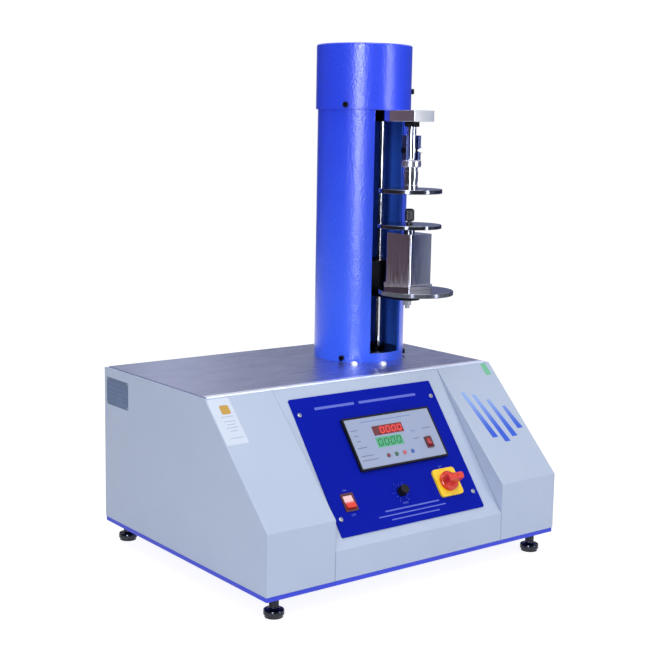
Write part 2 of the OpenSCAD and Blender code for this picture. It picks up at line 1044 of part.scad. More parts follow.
module screw_bearings() {
    color("silver") {
        at_screw(mount_low)
            ring(bearing_r, screw_d / 2 + run_gap, mount_t - bearing_gap);
        at_screw(bar_top)
            ring(top_bearing_r, screw_end_d / 2 + run_gap, top_bearing_t - bearing_gap / 2);
    }
}

// Screw with plain ends; rings of a square thread show its pitch
module lead_screw() {
    low = pulley_z - hub_h + screw_step;
    top = bar_top + top_bearing_t - bearing_gap;
    thread_low = mount_top + thread_clear;
    thread_high = bar_low - thread_clear / 2;
    turns = floor((thread_high - thread_low) / screw_groove);
    color("silver")
        at_screw(0)
            rotate_extrude()
                polygon(concat(
                    [[0, low], [screw_d / 2, low], [screw_d / 2, thread_low]],
                    [for (i = [0 : turns - 1]) for (k = [0 : 3])
                        [
                            screw_d / 2 - (k == 1 || k == 2 ? screw_step : 0),
                            thread_low + (i + [0, 0.01, 0.5, 0.51][k]) * screw_groove
                        ]],
                    [
                        [screw_d / 2, thread_high], [screw_end_d / 2, thread_high],
                        [screw_end_d / 2, top], [0, top]
                    ]
                ));
}

// Toothed pulley with two flanges
module pulley(teeth, r, bore) {
    difference() {
        union() {
            linear_extrude(belt_w)
                polygon(toothed(r, tooth_h, teeth));
            for (z = [-flange_t, belt_w - flange_bite])
                translate([0, 0, z])
                    cylinder(h = flange_t + flange_bite, r = r + tooth_h);
            translate([0, 0, -hub_h])
                cylinder(h = hub_h, r = bore + hub_wall);
        }
        translate([0, 0, -hub_h - eps])
            cylinder(h = hub_h + belt_w + flange_t + 2 * eps, r = bore + run_gap);
    }
}

module driven_pulley() {
    color("silver")
        at_screw(pulley_z)
            pulley(driven_teeth, driven_r, screw_d / 2);
}

// Motor pulley with the shaft that carries it
module drive_pulley() {
    color("silver")
        translate([motor_x, screw_y, 0]) {
            translate([0, 0, pulley_z])
                pulley(drive_teeth, drive_r, motor_shaft_r);
            translate([0, 0, bracket_low - shaft_in])
                cylinder(h = pulley_z + belt_w + flange_t - bracket_low + shaft_in, r = motor_shaft_r);
        }
}

// Points along an arc whose centre is at X
function arc(x, r, from, to) = [
    for (i = [0 : belt_steps])
        [x, 0] + polar(r, from + (to - from) * i / belt_steps)
];

// Outline of the belt at a distance from the pitch circles of both pulleys
function belt_outline(gap, a) = concat(
    arc(0, drive_r + gap, 90 + a, 270 - a),
    arc(motor_gap, driven_r + gap, -90 - a, 90 + a)
);

module drive_belt() {
    wrap = asin((driven_r - drive_r) / motor_gap);
    color("black")
        translate([motor_x, screw_y, pulley_z + belt_side_gap])
            linear_extrude(belt_w - 2 * belt_side_gap)
                difference() {
                    polygon(belt_outline(belt_gap + belt_back, wrap));
                    polygon(belt_outline(belt_gap, wrap));
                }
}

module drive_motor() {
    color("dimgray")
        translate([motor_x, screw_y, bracket_low]) {
            difference() {
                union() {
                    translate([0, 0, -motor_l])
                        block(motor_w - motor_step, motor_w - motor_step, motor_l);
                    translate([0, 0, -motor_flange_t])
                        round_plate(motor_w, motor_w, motor_flange_t, motor_corner);
                    translate([0, 0, -motor_l])
                        round_plate(motor_w, motor_w, motor_end_t, motor_corner);
                }
                translate([0, 0, -shaft_in - eps])
                    cylinder(h = shaft_in + 2 * eps, r = motor_shaft_r + run_gap);
            }
        }
}

module motor_bracket() {
    cheek = motor_w + 2 * bracket_t + 2 * cut_gap;
    color("gray")
        translate([motor_x, screw_y, bracket_low])
            difference() {
                union() {
                    block(motor_w, cheek, bracket_t);
                    for (s = [-1, 1])
                        translate([0, s * (cheek - bracket_t) / 2, 0])
                            block(motor_w, bracket_t, mount_low - bracket_low);
                }
                translate([0, 0, -eps])
                    cylinder(h = bracket_t + 2 * eps, r = motor_shaft_r + pulley_gap / 2);
            }
}

module carriage() {
    front = rod_y - bush_r - carriage_front;
    back = screw_y + nut_r + carriage_back;
    color("dimgray")
        difference() {
            union() {
                translate([col_x, (front + back) / 2, arm_low])
                    block(carriage_w, back - front, carriage_h);
                translate([col_x - arm_w / 2, load_y, arm_low])
                    cube([arm_w, front - load_y + eps, arm_t]);
                on_load_axis(arm_low)
                    cylinder(h = arm_t, d = arm_w);
            }
            at_rods()
                translate([0, 0, arm_low - eps])
                    cylinder(h = carriage_h + 2 * eps, r = bush_r + run_gap);
            at_screw(arm_low - eps)
                cylinder(h = carriage_h + 2 * eps, r = nut_r + run_gap);
            on_load_axis(arm_low - eps)
                cylinder(h = arm_t + 2 * eps, d = platen_bolt_d + bolt_gap);
        }
}

module guide_bushes() {
    color("darkgoldenrod")
        at_rods()
            for (z = [arm_low, arm_low + carriage_h - bush_h])
                translate([0, 0, z])
                    ring(bush_r, rod_d / 2 + run_gap, bush_h);
}

module lead_nut() {
    color("darkgoldenrod")
        at_screw(arm_low)
            ring(nut_r, screw_d / 2 + run_gap, carriage_h);
}

// Platens and the compression head

module lower_platen() {
    color("lightgray")
        difference() {
            translate([col_x, lower_y, arm_top])
                chamfered_disc(lower_d / 2, lower_t, platen_c);
            on_load_axis(arm_top - eps)
                cylinder(h = lower_t - bolt_end + eps, d = platen_bolt_d + 2 * run_gap);
        }
}

module platen_bolt() {
    tail_z = arm_low - washer_t - platen_nut_h - bolt_tail;
    color("silver")
        on_load_axis(0) {
            translate([0, 0, arm_low - washer_t - platen_nut_h])
                hex_prism(bolt_across, platen_nut_h);
            translate([0, 0, arm_low - washer_t])
                cylinder(h = washer_t, d = washer_d);
            translate([0, 0, tail_z])
                cylinder(h = arm_top + lower_t - bolt_end - eps - tail_z, d = platen_bolt_d);
        }
}

module steel_block() {
    color("silver")
        difference() {
            on_load_axis(block_z) {
                round_plate(block_w + 2 * block_step, block_l + 2 * block_step, block_foot_h, block_step);
                round_plate(block_w, block_l, block_foot_h + block_h, block_corner);
            }
            on_load_axis(block_top - clamp_stud_l)
                cylinder(h = clamp_stud_l + eps, d = stem_d + 2 * run_gap);
        }
}

module pressure_disc() {
    color("lightgray")
        difference() {
            on_load_axis(block_top) {
                cylinder(h = neck_h + platen_c, d = neck_d);
                translate([0, 0, neck_h])
                    chamfered_disc(press_d / 2, press_t, platen_c);
            }
            on_load_axis(block_top - eps)
                cylinder(h = neck_h + press_t + 2 * eps, d = stem_d + 2 * run_gap);
        }
}

module clamp_knob() {
    r = clamp_d / 2;
    color("black")
        on_load_axis(0) {
            translate([0, 0, block_top - clamp_stud_l + eps])
                cylinder(h = clamp_z - block_top + clamp_stud_l, d = stem_d);
            translate([0, 0, press_top + seat_gap])
                cylinder(h = stem_collar_h, d = stem_collar_d);
            intersection() {
                translate([0, 0, clamp_z])
                    linear_extrude(clamp_h)
                        polygon(fluted(r, knob_flute, knob_flutes));
                translate([0, 0, clamp_z])
                    rotate_extrude()
                        polygon([
                            [0, 0], [r - knob_foot_c, 0], [r + cone_clear, knob_foot_c],
                            [r + cone_clear, clamp_h - knob_top_c], [r - knob_top_c, clamp_h], [0, clamp_h]
                        ]);
            }
        }
}

module top_arm() {
    front = load_y - bar_fwd;
    color("silver")
        difference() {
            translate([col_x - bar_w / 2, front, bar_low])
                cube([bar_w, bar_end_y - front, bar_t]);
            on_load_axis(bar_low - eps)
                cylinder(h = bar_t + 2 * eps, d = load_stud_d + 2 * run_gap);
        }
}

module lock_nut() {
    color("black")
        on_load_axis(bar_low - lock_nut_h)
            difference() {
                hex_prism(lock_across, lock_nut_h);
                translate([0, 0, -eps])
                    cylinder(h = lock_nut_h + 2 * eps, d = load_stud_d + 2 * run_gap);
            }
}

module load_rod() {
    color("whitesmoke")
        difference() {
            on_load_axis(0) {
                translate([0, 0, load_rod_low])
                    cylinder(h = bar_low - lock_nut_h - load_rod_low, d = load_rod_d);
                translate([0, 0, bar_low - lock_nut_h - eps])
                    cylinder(h = lock_nut_h + bar_t + eps - stud_sink, d = load_stud_d);
            }
            on_load_axis(pin_z)
                rotate([0, 90, 0])
                    cylinder(h = 2 * load_rod_d, d = pin_d + 2 * run_gap, center = true);
        }
}

module yoke_pin() {
    reach = prong_x + prong_t / 2 + seat_gap;
    color("whitesmoke")
        on_load_axis(pin_z)
            rotate([0, 90, 0]) {
                translate([0, 0, -reach])
                    cylinder(h = 2 * reach + ball_d / 2, d = pin_d);
                translate([0, 0, -reach - pin_head_t])
                    cylinder(h = pin_head_t, d = pin_head_d);
                // Ball with a flat against the prong
                translate([0, 0, reach])
                    intersection() {
                        translate([0, 0, (ball_share - 0.5) * ball_d])
                            sphere(d = ball_d);
                        cylinder(h = ball_d, d = ball_d + eps);
                    }
            }
}

module load_yoke() {
    color("silver")
        difference() {
            on_load_axis(yoke_z) {
                chamfered_disc(yoke_d / 2, yoke_base_t, yoke_c);
                both_sides(prong_x)
                    block(prong_t, prong_l, yoke_base_t + prong_h);
            }
            on_load_axis(pin_z)
                rotate([0, 90, 0])
                    cylinder(h = 2 * yoke_d, d = pin_d + 2 * run_gap, center = true);
        }
}

module load_cell() {
    r = cell_d / 2;
    upper = cell_h - cell_neck_h - cell_neck;
    color("gainsboro")
        on_load_axis(cell_z)
            rotate_extrude()
                polygon([
                    [0, 0], [r, 0], [r, cell_foot_h], [r - cell_neck, cell_foot_h + cell_c],
                    [r - cell_neck, cell_foot_h + cell_neck_h - cell_c], [r, cell_foot_h + cell_neck_h],
                    [r, upper], [r - cell_neck, upper + cell_c], [r - cell_neck, cell_h - 2 * cell_neck],
                    [r - cell_c, cell_h - 2 * cell_neck + cell_c], [r - cell_c, cell_h], [0, cell_h]
                ]);
}

module upper_platen() {
    color("lightgray")
        on_load_axis(upper_face)
            chamfered_disc(upper_d / 2, upper_t, platen_c);
}

// Instruments on the control plate

// Row of holes for the keys, from the meter's centre
module key_holes(depth) {
    for (i = [0 : 3])
        translate([key_x0 - meter_x + i * key_pitch, key_rise - meter_rise, 0])
            cylinder(h = depth, d = key_d + 2 * seat_gap);
}

module meter_case() {
    floor_out = panel_t + meter_t - face_sink;
    color("black")
        on_bay(meter_x, meter_rise)
            difference() {
                union() {
                    translate([0, 0, panel_t])
                        round_plate(meter_w, meter_h, meter_t, meter_corner);
                    translate([0, 0, -meter_depth])
                        block(case_w, case_h, meter_depth + panel_t + eps);
                }
                translate([0, 0, floor_out])
                    round_plate(face_w, face_h, face_sink + eps, face_corner);
                translate([0, 0, floor_out - key_pocket])
                    key_holes(key_pocket + eps);
                translate([tare_x - meter_x, tare_rise - meter_rise, floor_out - tare_deep])
                    block(tare_w - tare_lap, tare_h - tare_lap, tare_deep + eps);
            }
}

module meter_face() {
    color("lavender")
        on_bay(meter_x, meter_rise, panel_t + meter_t - face_sink)
            difference() {
                round_plate(face_w - 2 * edge_gap, face_h - 2 * edge_gap, face_t, face_corner);
                translate([red_x - meter_x, red_rise - meter_rise, -eps])
                    block(red_w, red_h, face_t + 2 * eps);
                translate([green_x - meter_x, green_rise - meter_rise, -eps])
                    block(green_w, green_h, face_t + 2 * eps);
                translate([0, 0, -eps])
                    key_holes(face_t + 2 * eps);
                translate([tare_x - meter_x, tare_rise - meter_rise, -eps])
                    block(tare_w - tare_lap, tare_h - tare_lap, face_t + 2 * eps);
            }
}

module meter_displays() {
    out = panel_t + meter_t - face_sink;
    color("darkred") {
        on_bay(red_x, red_rise, out)
            block(red_w - edge_gap, red_h - edge_gap, face_t);
        on_bay(green_x, green_rise, out)
            block(green_w - edge_gap, green_h - edge_gap, face_t);
    }
}

// One key of the meter, counted from the left
module meter_key(i) {
    on_bay(key_x0 + i * key_pitch, key_rise, panel_t + meter_t - face_sink - key_sink)
        chamfered_disc(key_d / 2, key_sink + face_t + key_proud, key_c);
}

// Body of a rocker switch: rim on its panel, well with two pivot holes
module switch_body(w, h, deep) {
    side = switch_rim_in + switch_wall;
    pivot_l = w - 2 * side + 2 * pivot_reach + bolt_gap;
    difference() {
        union() {
            round_plate(w, h, switch_rim_t, switch_corner);
            translate([0, 0, -deep])
                block(w - 2 * switch_rim_in, h - 2 * switch_rim_in, deep + head_bite);
        }
        translate([0, 0, -deep + switch_rim_t])
            block(w - 2 * side, h - 2 * (switch_rim_in + switch_end_wall), deep + switch_rim_t);
        rotate([0, 90, 0])
            cylinder(h = pivot_l, d = pivot_d + 2 * run_gap, center = true);
    }
}

// Rocker of a switch, pressed at its upper end
module switch_rocker(w, h) {
    half = h / 2 - switch_rim_in - switch_end_wall - rocker_end_gap;
    width = w - 2 * (switch_rim_in + switch_wall + seat_gap);
    rotate([-throw_angle, 0, 0]) {
        across(width)
            polygon([
                [-half, -rocker_under], [-half, rocker_rise], [0, rocker_dip], [half, rocker_rise],
                [half, -rocker_under], [0, -rocker_belly]
            ]);
        rotate([0, 90, 0])
            cylinder(h = width + 2 * pivot_reach, d = pivot_d, center = true);
    }
}

module tare_switch_body() {
    color("black")
        on_bay(tare_x, tare_rise, panel_t + meter_t - face_sink + face_t)
            switch_body(tare_w, tare_h, tare_deep - cut_gap);
}

module tare_rocker() {
    color("red")
        on_bay(tare_x, tare_rise, panel_t + meter_t - face_sink + face_t)
            switch_rocker(tare_w, tare_h);
}

module power_switch_body() {
    color("black")
        on_bay(power_x, switch_rise, panel_t)
            switch_body(rocker_w, rocker_h, power_deep);
}

module power_rocker() {
    color("red")
        on_bay(power_x, switch_rise, panel_t)
            switch_rocker(rocker_w, rocker_h);
}

module speed_control() {
    color("gray")
        on_bay(dial_x, switch_rise)
            difference() {
                union() {
                    translate([0, 0, -sheet_t - control_deep])
                        cylinder(h = control_deep, d = control_d);
                    translate([0, 0, -sheet_t - eps])
                        cylinder(h = sheet_t + eps + panel_t + bush_proud, d = bush_d);
                }
                translate([0, 0, -sheet_t - shaft_reach - eps])
                    cylinder(h = 2 * shaft_reach, d = dial_shaft_d + 2 * run_gap);
            }
}

// Speed knob with its shaft
module speed_knob() {
    r = dial_d / 2;
    low = panel_t + seat_gap;
    color("black")
        on_bay(dial_x, switch_rise) {
            difference() {
                intersection() {
                    translate([0, 0, low])
                        linear_extrude(dial_h)
                            polygon(fluted(r, knob_flute, dial_flutes));
                    translate([0, 0, low])
                        rotate_extrude()
                            polygon([
                                [0, 0], [r + cone_clear, 0], [r - dial_taper, dial_h - dial_c],
                                [r - dial_taper - dial_c, dial_h], [0, dial_h]
                            ]);
                }
                translate([0, 0, low - eps])
                    cylinder(h = eps + dial_socket, d = bush_d + cut_gap);
                translate([-line_w / 2, line_start * r, low + dial_h - line_deep])
                    cube([line_w, r, line_deep + eps]);
            }
            translate([0, 0, -sheet_t - shaft_reach])
                cylinder(h = sheet_t + shaft_reach + low + dial_bite, d = dial_shaft_d);
        }
}

module isolator_plate() {
    groove_r = iso_w / 2 - iso_groove_in;
    color("gold")
        on_bay(iso_x, switch_rise, panel_t)
            difference() {
                round_plate(iso_w, iso_w, iso_t, iso_corner);
                translate([0, 0, -eps])
                    cylinder(h = iso_t + 2 * eps, d = iso_shaft_d + 2 * cut_gap);
                translate([0, 0, iso_t - iso_groove])
                    ring(groove_r, groove_r - iso_groove_w, iso_groove + eps);
            }
}

module isolator_body() {
    color("gray")
        on_bay(iso_x, switch_rise)
            difference() {
                union() {
                    translate([0, 0, -sheet_t - iso_deep])
                        block(iso_w - 2 * iso_in, iso_w - 2 * iso_in, iso_deep);
                    translate([0, 0, -sheet_t - eps])
                        cylinder(h = sheet_t + panel_t + eps, d = iso_neck_d);
                }
                translate([0, 0, -sheet_t - iso_shaft_reach - eps])
                    cylinder(h = 2 * iso_shaft_reach, d = iso_shaft_d + 2 * run_gap);
            }
}

// Isolator handle: round base, raised grip across it, and its shaft
module isolator_handle() {
    low = panel_t + iso_t + seat_gap;
    r = iso_base_d / 2;
    grip_side = (grip_w + grip_top_w) / 4;
    color("red")
        on_bay(iso_x, switch_rise) {
            translate([0, 0, low])
                rotate_extrude()
                    polygon([
                        [0, 0], [r, 0], [r, iso_base_rim], [r - iso_base_c, iso_base_h], [0, iso_base_h]
                    ]);
            intersection() {
                translate([0, 0, low])
                    cylinder(h = iso_grip_h, r = r - cut_gap);
                translate([0, 0, low])
                    rotate([90, 0, 90])
                        linear_extrude(iso_base_d, center = true)
                            polygon([
                                [-grip_w / 2, 0], [grip_w / 2, 0], [grip_side, iso_grip_h - grip_c],
                                [grip_top_w / 2, iso_grip_h], [-grip_top_w / 2, iso_grip_h],
                                [-grip_side, iso_grip_h - grip_c]
                            ]);
            }
            translate([0, 0, -sheet_t - iso_shaft_reach])
                cylinder(h = sheet_t + iso_shaft_reach + low + eps, d = iso_shaft_d);
        }
}

// Electrical parts at the back and on the floor of the cabinet

module mains_inlet() {
    pole_z = inlet_floor - inlet_deep - head_bite;
    color("black")
        translate([inlet_x, back_y - rear_recess + sheet_t, inlet_z])
            rotate([-90, 0, 0]) {
                difference() {
                    union() {
                        linear_extrude(inlet_t) {
                            square([inlet_w - inlet_ear, inlet_h], center = true);
                            both_sides((inlet_w - inlet_ear) / 2)
                                circle(d = inlet_ear);
                        }
                        translate([0, 0, -inlet_deep])
                            block(inlet_body_w, inlet_body_h, inlet_deep + eps);
                    }
                    translate([0, 0, inlet_floor - inlet_deep])
                        block(socket_w, socket_h, inlet_deep);
                }
                // Three flat contacts
                for (i = [-1, 0, 1])
                    translate([i * pole_pitch, i == 0 ? pole_w : -pole_w / 2, pole_z])
                        block(pole_t, pole_w, pole_h);
            }
}

module power_supply() {
    slot_y = -(supply_slots - 1) / 2 * supply_slot_pitch;
    color("gainsboro")
        translate([supply_x, supply_y, floor_z])
            difference() {
                union() {
                    block(supply_w, supply_l, supply_h);
                    block(supply_flange_w, supply_flange_l, supply_flange_t);
                }
                for (i = [0 : supply_slots - 1])
                    translate([0, slot_y + i * supply_slot_pitch, supply_h - supply_slot_deep])
                        block(supply_slot_l, supply_slot_w, supply_slot_deep + eps);
            }
}

module foot_front_left() {
    foot(-1, -1);
}

module foot_front_right() {
    foot(1, -1);
}

module foot_rear_left() {
    foot(-1, 1);
}

module foot_rear_right() {
    foot(1, 1);
}

module key_1() {
    color("darkred")
        meter_key(0);
}

module key_2() {
    color("green")
        meter_key(1);
}

module key_3() {
    color("red")
        meter_key(2);
}

module key_4() {
    color("blue")
        meter_key(3);
}

base_tray();
foot_front_left();
foot_front_right();
foot_rear_left();
foot_rear_right();
foot_lock_nuts();
cabinet_shell();
front_panel();
deck_plate();
rear_cover();
cover_screws();
control_plate();
support_frame();
mounting_plate();
column_tube();
column_foot_ring();
column_cap();
column_screws();
bulkhead();
guide_rods();
screw_bearings();
lead_screw();
driven_pulley();
drive_pulley();
drive_belt();
drive_motor();
motor_bracket();
carriage();
guide_bushes();
lead_nut();
lower_platen();
platen_bolt();
steel_block();
pressure_disc();
clamp_knob();
top_arm();
lock_nut();
load_rod();
yoke_pin();
load_yoke();
load_cell();
upper_platen();
meter_case();
meter_face();
meter_displays();
key_1();
key_2();
key_3();
key_4();
tare_switch_body();
tare_rocker();
power_switch_body();
power_rocker();
speed_control();
speed_knob();
isolator_plate();
isolator_body();
isolator_handle();
mains_inlet();
power_supply();
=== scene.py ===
"""Looks of a bench crush tester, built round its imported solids.

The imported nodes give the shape. This script gives each of them the finish of the real
part and adds what is too small or too flat for a solid: screw recesses, threads, digits,
dial marks, plates and stickers. Sizes are in millimetres and turn to metres once, where
a mesh is made. X runs to the right, the front is -Y and the floor is Z = 0.
"""

from __future__ import annotations

import logging
import math
from dataclasses import dataclass, field
from enum import Enum

import bpy
from mathutils import Matrix, Vector

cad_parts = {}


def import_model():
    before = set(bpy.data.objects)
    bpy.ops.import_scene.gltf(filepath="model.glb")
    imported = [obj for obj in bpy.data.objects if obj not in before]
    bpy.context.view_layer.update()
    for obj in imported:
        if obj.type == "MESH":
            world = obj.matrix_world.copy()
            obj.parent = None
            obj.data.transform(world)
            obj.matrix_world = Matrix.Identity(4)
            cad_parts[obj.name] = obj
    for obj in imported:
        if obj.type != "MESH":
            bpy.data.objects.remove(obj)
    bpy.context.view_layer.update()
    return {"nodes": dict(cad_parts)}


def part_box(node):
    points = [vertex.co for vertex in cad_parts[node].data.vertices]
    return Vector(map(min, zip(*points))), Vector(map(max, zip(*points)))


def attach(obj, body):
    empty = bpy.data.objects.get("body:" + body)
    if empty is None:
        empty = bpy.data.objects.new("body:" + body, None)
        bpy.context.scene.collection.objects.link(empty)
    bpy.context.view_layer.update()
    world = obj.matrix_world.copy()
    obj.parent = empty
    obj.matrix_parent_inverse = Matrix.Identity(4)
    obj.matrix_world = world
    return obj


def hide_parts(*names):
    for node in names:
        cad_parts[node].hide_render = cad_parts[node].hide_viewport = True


LOG = logging.getLogger("crush_tester")
Tree = bpy.types.NodeTree
Socket = bpy.types.NodeSocket
Thing = bpy.types.Object
Point = tuple[float, float]
Place = tuple[float, float, float]

MM = 0.001
# Edges that turn by more than this stay sharp
SHARP = math.radians(32)
# Range in which nearly all of a noise lies
SPREAD = {"From Min": 0.3, "From Max": 0.7}
# Size of a font's letters for capitals 1 mm high
FONT_SIZE = 1.4
# Radius round a hexagon that is 1 mm across its flats
HEXAGON_R = 0.577
CORNERS = [(x, y) for x in (-1, 1) for y in (-1, 1)]
# Upright axes in X and Y
COLUMN_AXIS = (146.0, 103.7)
LOAD_AXIS = (146.0, -34.0)


# Nodes and colours


def linear(code: str) -> tuple[float, float, float, float]:
    """Turns an sRGB hex colour into linear RGBA.

    Args:
        code: Colour such as "#2c49e4".

    Returns:
        Linear red, green, blue and full alpha.
    """
    parts = [int(code[i : i + 2], 16) / 255 for i in (1, 3, 5)]
    curve = [c / 12.92 if c <= 0.04045 else ((c + 0.055) / 1.055) ** 2.4 for c in parts]
    return (curve[0], curve[1], curve[2], 1.0)


def plug(node: bpy.types.Node, inputs: dict[object, object]) -> None:
    """Sets a node's inputs. An output socket is linked, and so is each one in a list.

    Args:
        node: The node.
        inputs: Values and sockets by the input's name or number.
    """
    for key, value in inputs.items():
        for one in value if isinstance(value, list) else [value]:
            if isinstance(one, Socket):
                node.id_data.links.new(one, node.inputs[key])
            else:
                node.inputs[key].default_value = one


def add_node(tree: Tree, kind: str, settings: dict[object, object] | None = None) -> bpy.types.Node:
    """Adds one node with its settings and links.

    Args:
        tree: Tree that gets the node.
        kind: Blender's type name of the node.
        settings: Lower-case keys are properties of the node, and the others its inputs.

    Returns:
        The new node.
    """
    node = tree.nodes.new(kind)
    inputs = {}
    for key, value in (settings or {}).items():
        if isinstance(key, str) and key.islower():
            setattr(node, key, value)
        else:
            inputs[key] = value
    plug(node, inputs)
    return node


# Finishes


class Lay(Enum):
    """Way that a metal's tool marks run."""

    ACROSS = (0.03, 1.0, 1.0)
    UPRIGHT = (1.0, 1.0, 0.03)
    EVEN = (1.0, 1.0, 1.0)


@dataclass(frozen=True)
class Fade:
    """A change of colour along a way.

    Attributes:
        far: Colour at its end.
        way: Its unit direction.
        start: Distance along the way, in mm, where it starts.
        end: Distance where it ends.
    """

    far: str
    way: Place
    start: float
    end: float


@dataclass
class Paint:
    """A material in the making.

    Attributes:
        shader: Its main shader.
        place: Coordinates of its patterns in metres.
    """

    shader: bpy.types.Node
    place: Socket

    @property
    def tree(self) -> Tree:
        """Gives the material's tree."""
        return self.shader.id_data

    def mottle(self, size: float, low: float, high: float) -> Socket:
        """Makes soft spots that run from one value to another.

        Args:
            size: Width of a spot in mm.
            low: Value of the lowest spots.
            high: Value of the highest spots.

        Returns:
            The value.
        """
        noise = {"Vector": self.place, "Scale": 1 / (size * MM), "Detail": 2.0}
        spots = add_node(self.tree, "ShaderNodeTexNoise", noise).outputs["Fac"]
        span = {"Value": spots, **SPREAD, "To Min": low, "To Max": high}
        return add_node(self.tree, "ShaderNodeMapRange", span).outputs["Result"]

    def tint(self, share: Socket, other: str) -> None:
        """Blends what the shader has as its base colour towards another one.

        Args:
            share: Share of the other colour.
            other: The other colour as sRGB hex.
        """
        base = self.shader.inputs["Base Color"]
        under = base.links[0].from_socket if base.is_linked else tuple(base.default_value)
        colours = {"data_type": "RGBA", 0: share, 6: under, 7: linear(other)}
        plug(self.shader, {"Base Color": add_node(self.tree, "ShaderNodeMix", colours).outputs[2]})

    def fade(self, course: Fade) -> None:
        """Fades the base colour into another one along a way.

        Args:
            course: Where the fade runs.
        """
        turned = {"operation": "DOT_PRODUCT", 0: self.place, 1: course.way}
        along = add_node(self.tree, "ShaderNodeVectorMath", turned).outputs["Value"]
        span = {"Value": along, "From Min": course.start * MM, "From Max": course.end * MM}
        share = add_node(self.tree, "ShaderNodeMapRange", {"interpolation_type": "SMOOTHSTEP", **span})
        self.tint(share.outputs[0], course.far)

    def around(self, centre: Point) -> tuple[Socket, Socket]:
        """Measures from an upright axis.

        Args:
            centre: The axis in X and Y, in mm.

        Returns:
            Level coordinates from the axis, and the distance from it, in metres.
        """
        shift = {"Vector": self.place, "Location": (-centre[0] * MM, -centre[1] * MM, 0)}
        flat = add_node(self.tree, "ShaderNodeMapping", {**shift, "Scale": (1, 1, 0)}).outputs[0]
        length = {"operation": "LENGTH", 0: flat}
        return flat, add_node(self.tree, "ShaderNodeVectorMath", length).outputs["Value"]

    def relief(self, height: Socket, depth: float, edge: float) -> None:
        """Breaks the edges and adds a relief, on the surface and on any clear coat.

        Args:
            height: Relief from 0 to 1.
            depth: Depth of the relief in mm.
            edge: Radius in mm that broken edges show, 0 for none.
        """
        bump = {"Height": height, "Strength": 1.0, "Distance": depth * MM}
        if edge > 0:
            rim = {"samples": 6, "Radius": edge * MM}
            bump["Normal"] = add_node(self.tree, "ShaderNodeBevel", rim).outputs[0]
        normal = add_node(self.tree, "ShaderNodeBump", bump).outputs["Normal"]
        plug(self.shader, {"Normal": normal, "Coat Normal": normal})


@dataclass(frozen=True)
class Finish:
    """A surface finish. Its material is made once and then shared.

    In capitals is what each kind of finish has of its own: METAL is 1 for bare metal. SPOTS
    has the width in mm and the greatest share of the other colour. HAZE has the width in mm
    of the dull places, 0 for the grain's, and their least and greatest change of the
    roughness. COAT_BLUR is the roughness of the clear gloss.

    Attributes:
        name: Name of the material.
        colour: Base colour as sRGB hex.
        roughness: Middle value of the roughness.
        edge: Radius in mm that broken edges show, 0 for none.
        grain: Width of the grain in mm, wider than the real one where that is too fine to show.
        depth: Depth of the grain in mm.
        other: Colour of the spots, or empty for a slightly paler one.
        coat: Weight of a clear gloss on top.
        specular: Strength of the reflection, 0.5 for a usual surface.
        glow: Strength of the light that shines through, 0 for none.
        course: A fade into another colour, or None.
    """

    name: str
    colour: str
    roughness: float
    edge: float = 0.4
    grain: float = 0.7
    depth: float = 0.015
    other: str = ""
    coat: float = 0.0
    specular: float = 0.5
    glow: float = 0.0
    course: Fade | None = field(default=None, kw_only=True)
    METAL = 0.0
    SPOTS = (16.0, 0.3)
    HAZE = (9.0, -0.04, 0.06)
    COAT_BLUR = 0.08

    def material(self) -> bpy.types.Material:
        """Gives the finish's material, and builds it the first time.

        Returns:
            The shared material.
        """
        made = bpy.data.materials.get(self.name)
        if made:
            return made
        made = bpy.data.materials.new(self.name)
        made.use_nodes = True
        made.diffuse_color = linear(self.colour)
        tree = made.node_tree
        paint = Paint(tree.nodes["Principled BSDF"], add_node(tree, "ShaderNodeTexCoord").outputs["Object"])
        plug(paint.shader, {"Base Color": linear(self.colour), "Metallic": self.METAL})
        plug(paint.shader, {"Roughness": self.roughness, "Specular IOR Level": self.specular})
        plug(paint.shader, {"Coat Weight": self.coat, "Coat Roughness": self.COAT_BLUR})
        if self.glow > 0:
            plug(paint.shader, {"Emission Color": linear(self.colour), "Emission Strength": self.glow})
        self.dress(paint)
        if self.course:
            paint.fade(self.course)
        self.cover(paint)
        return made

    def dress(self, paint: Paint) -> None:
        """Adds the spots, the dull places and the grain.

        Args:
            paint: The material in the making.
        """
        width, share = self.SPOTS
        if share > 0:
            paint.tint(paint.mottle(width, 0.0, share), self.other or self.paler())
        fine = self.laid(paint)
        width, less, more = self.HAZE
        gloss = fine.mottle(width or self.grain, self.roughness + less, self.roughness + more)
        plug(paint.shader, {"Roughness": gloss})
        paint.relief(fine.mottle(self.grain, 0.0, 1.0), self.depth, self.edge)

    def laid(self, paint: Paint) -> Paint:
        """Gives the paint with the coordinates that the grain follows."""
        return paint

    def cover(self, paint: Paint) -> None:
        """Adds what lies over the finished colour, which is nothing here."""

    def paler(self) -> str:
        """Gives the base colour one small step towards white, as sRGB hex."""
        parts = [int(self.colour[i : i + 2], 16) for i in (1, 3, 5)]
        return "#" + "".join(f"{round(p + (255 - p) * 0.06):02x}" for p in parts)


@dataclass(frozen=True)
class PowderCoat(Finish):
    """Polyester powder, sprayed dry and baked on steel sheet: a satin film with orange peel."""

    SPOTS = (90.0, 0.35)
    HAZE = (35.0, -0.04, 0.04)
    COAT_BLUR = 0.22


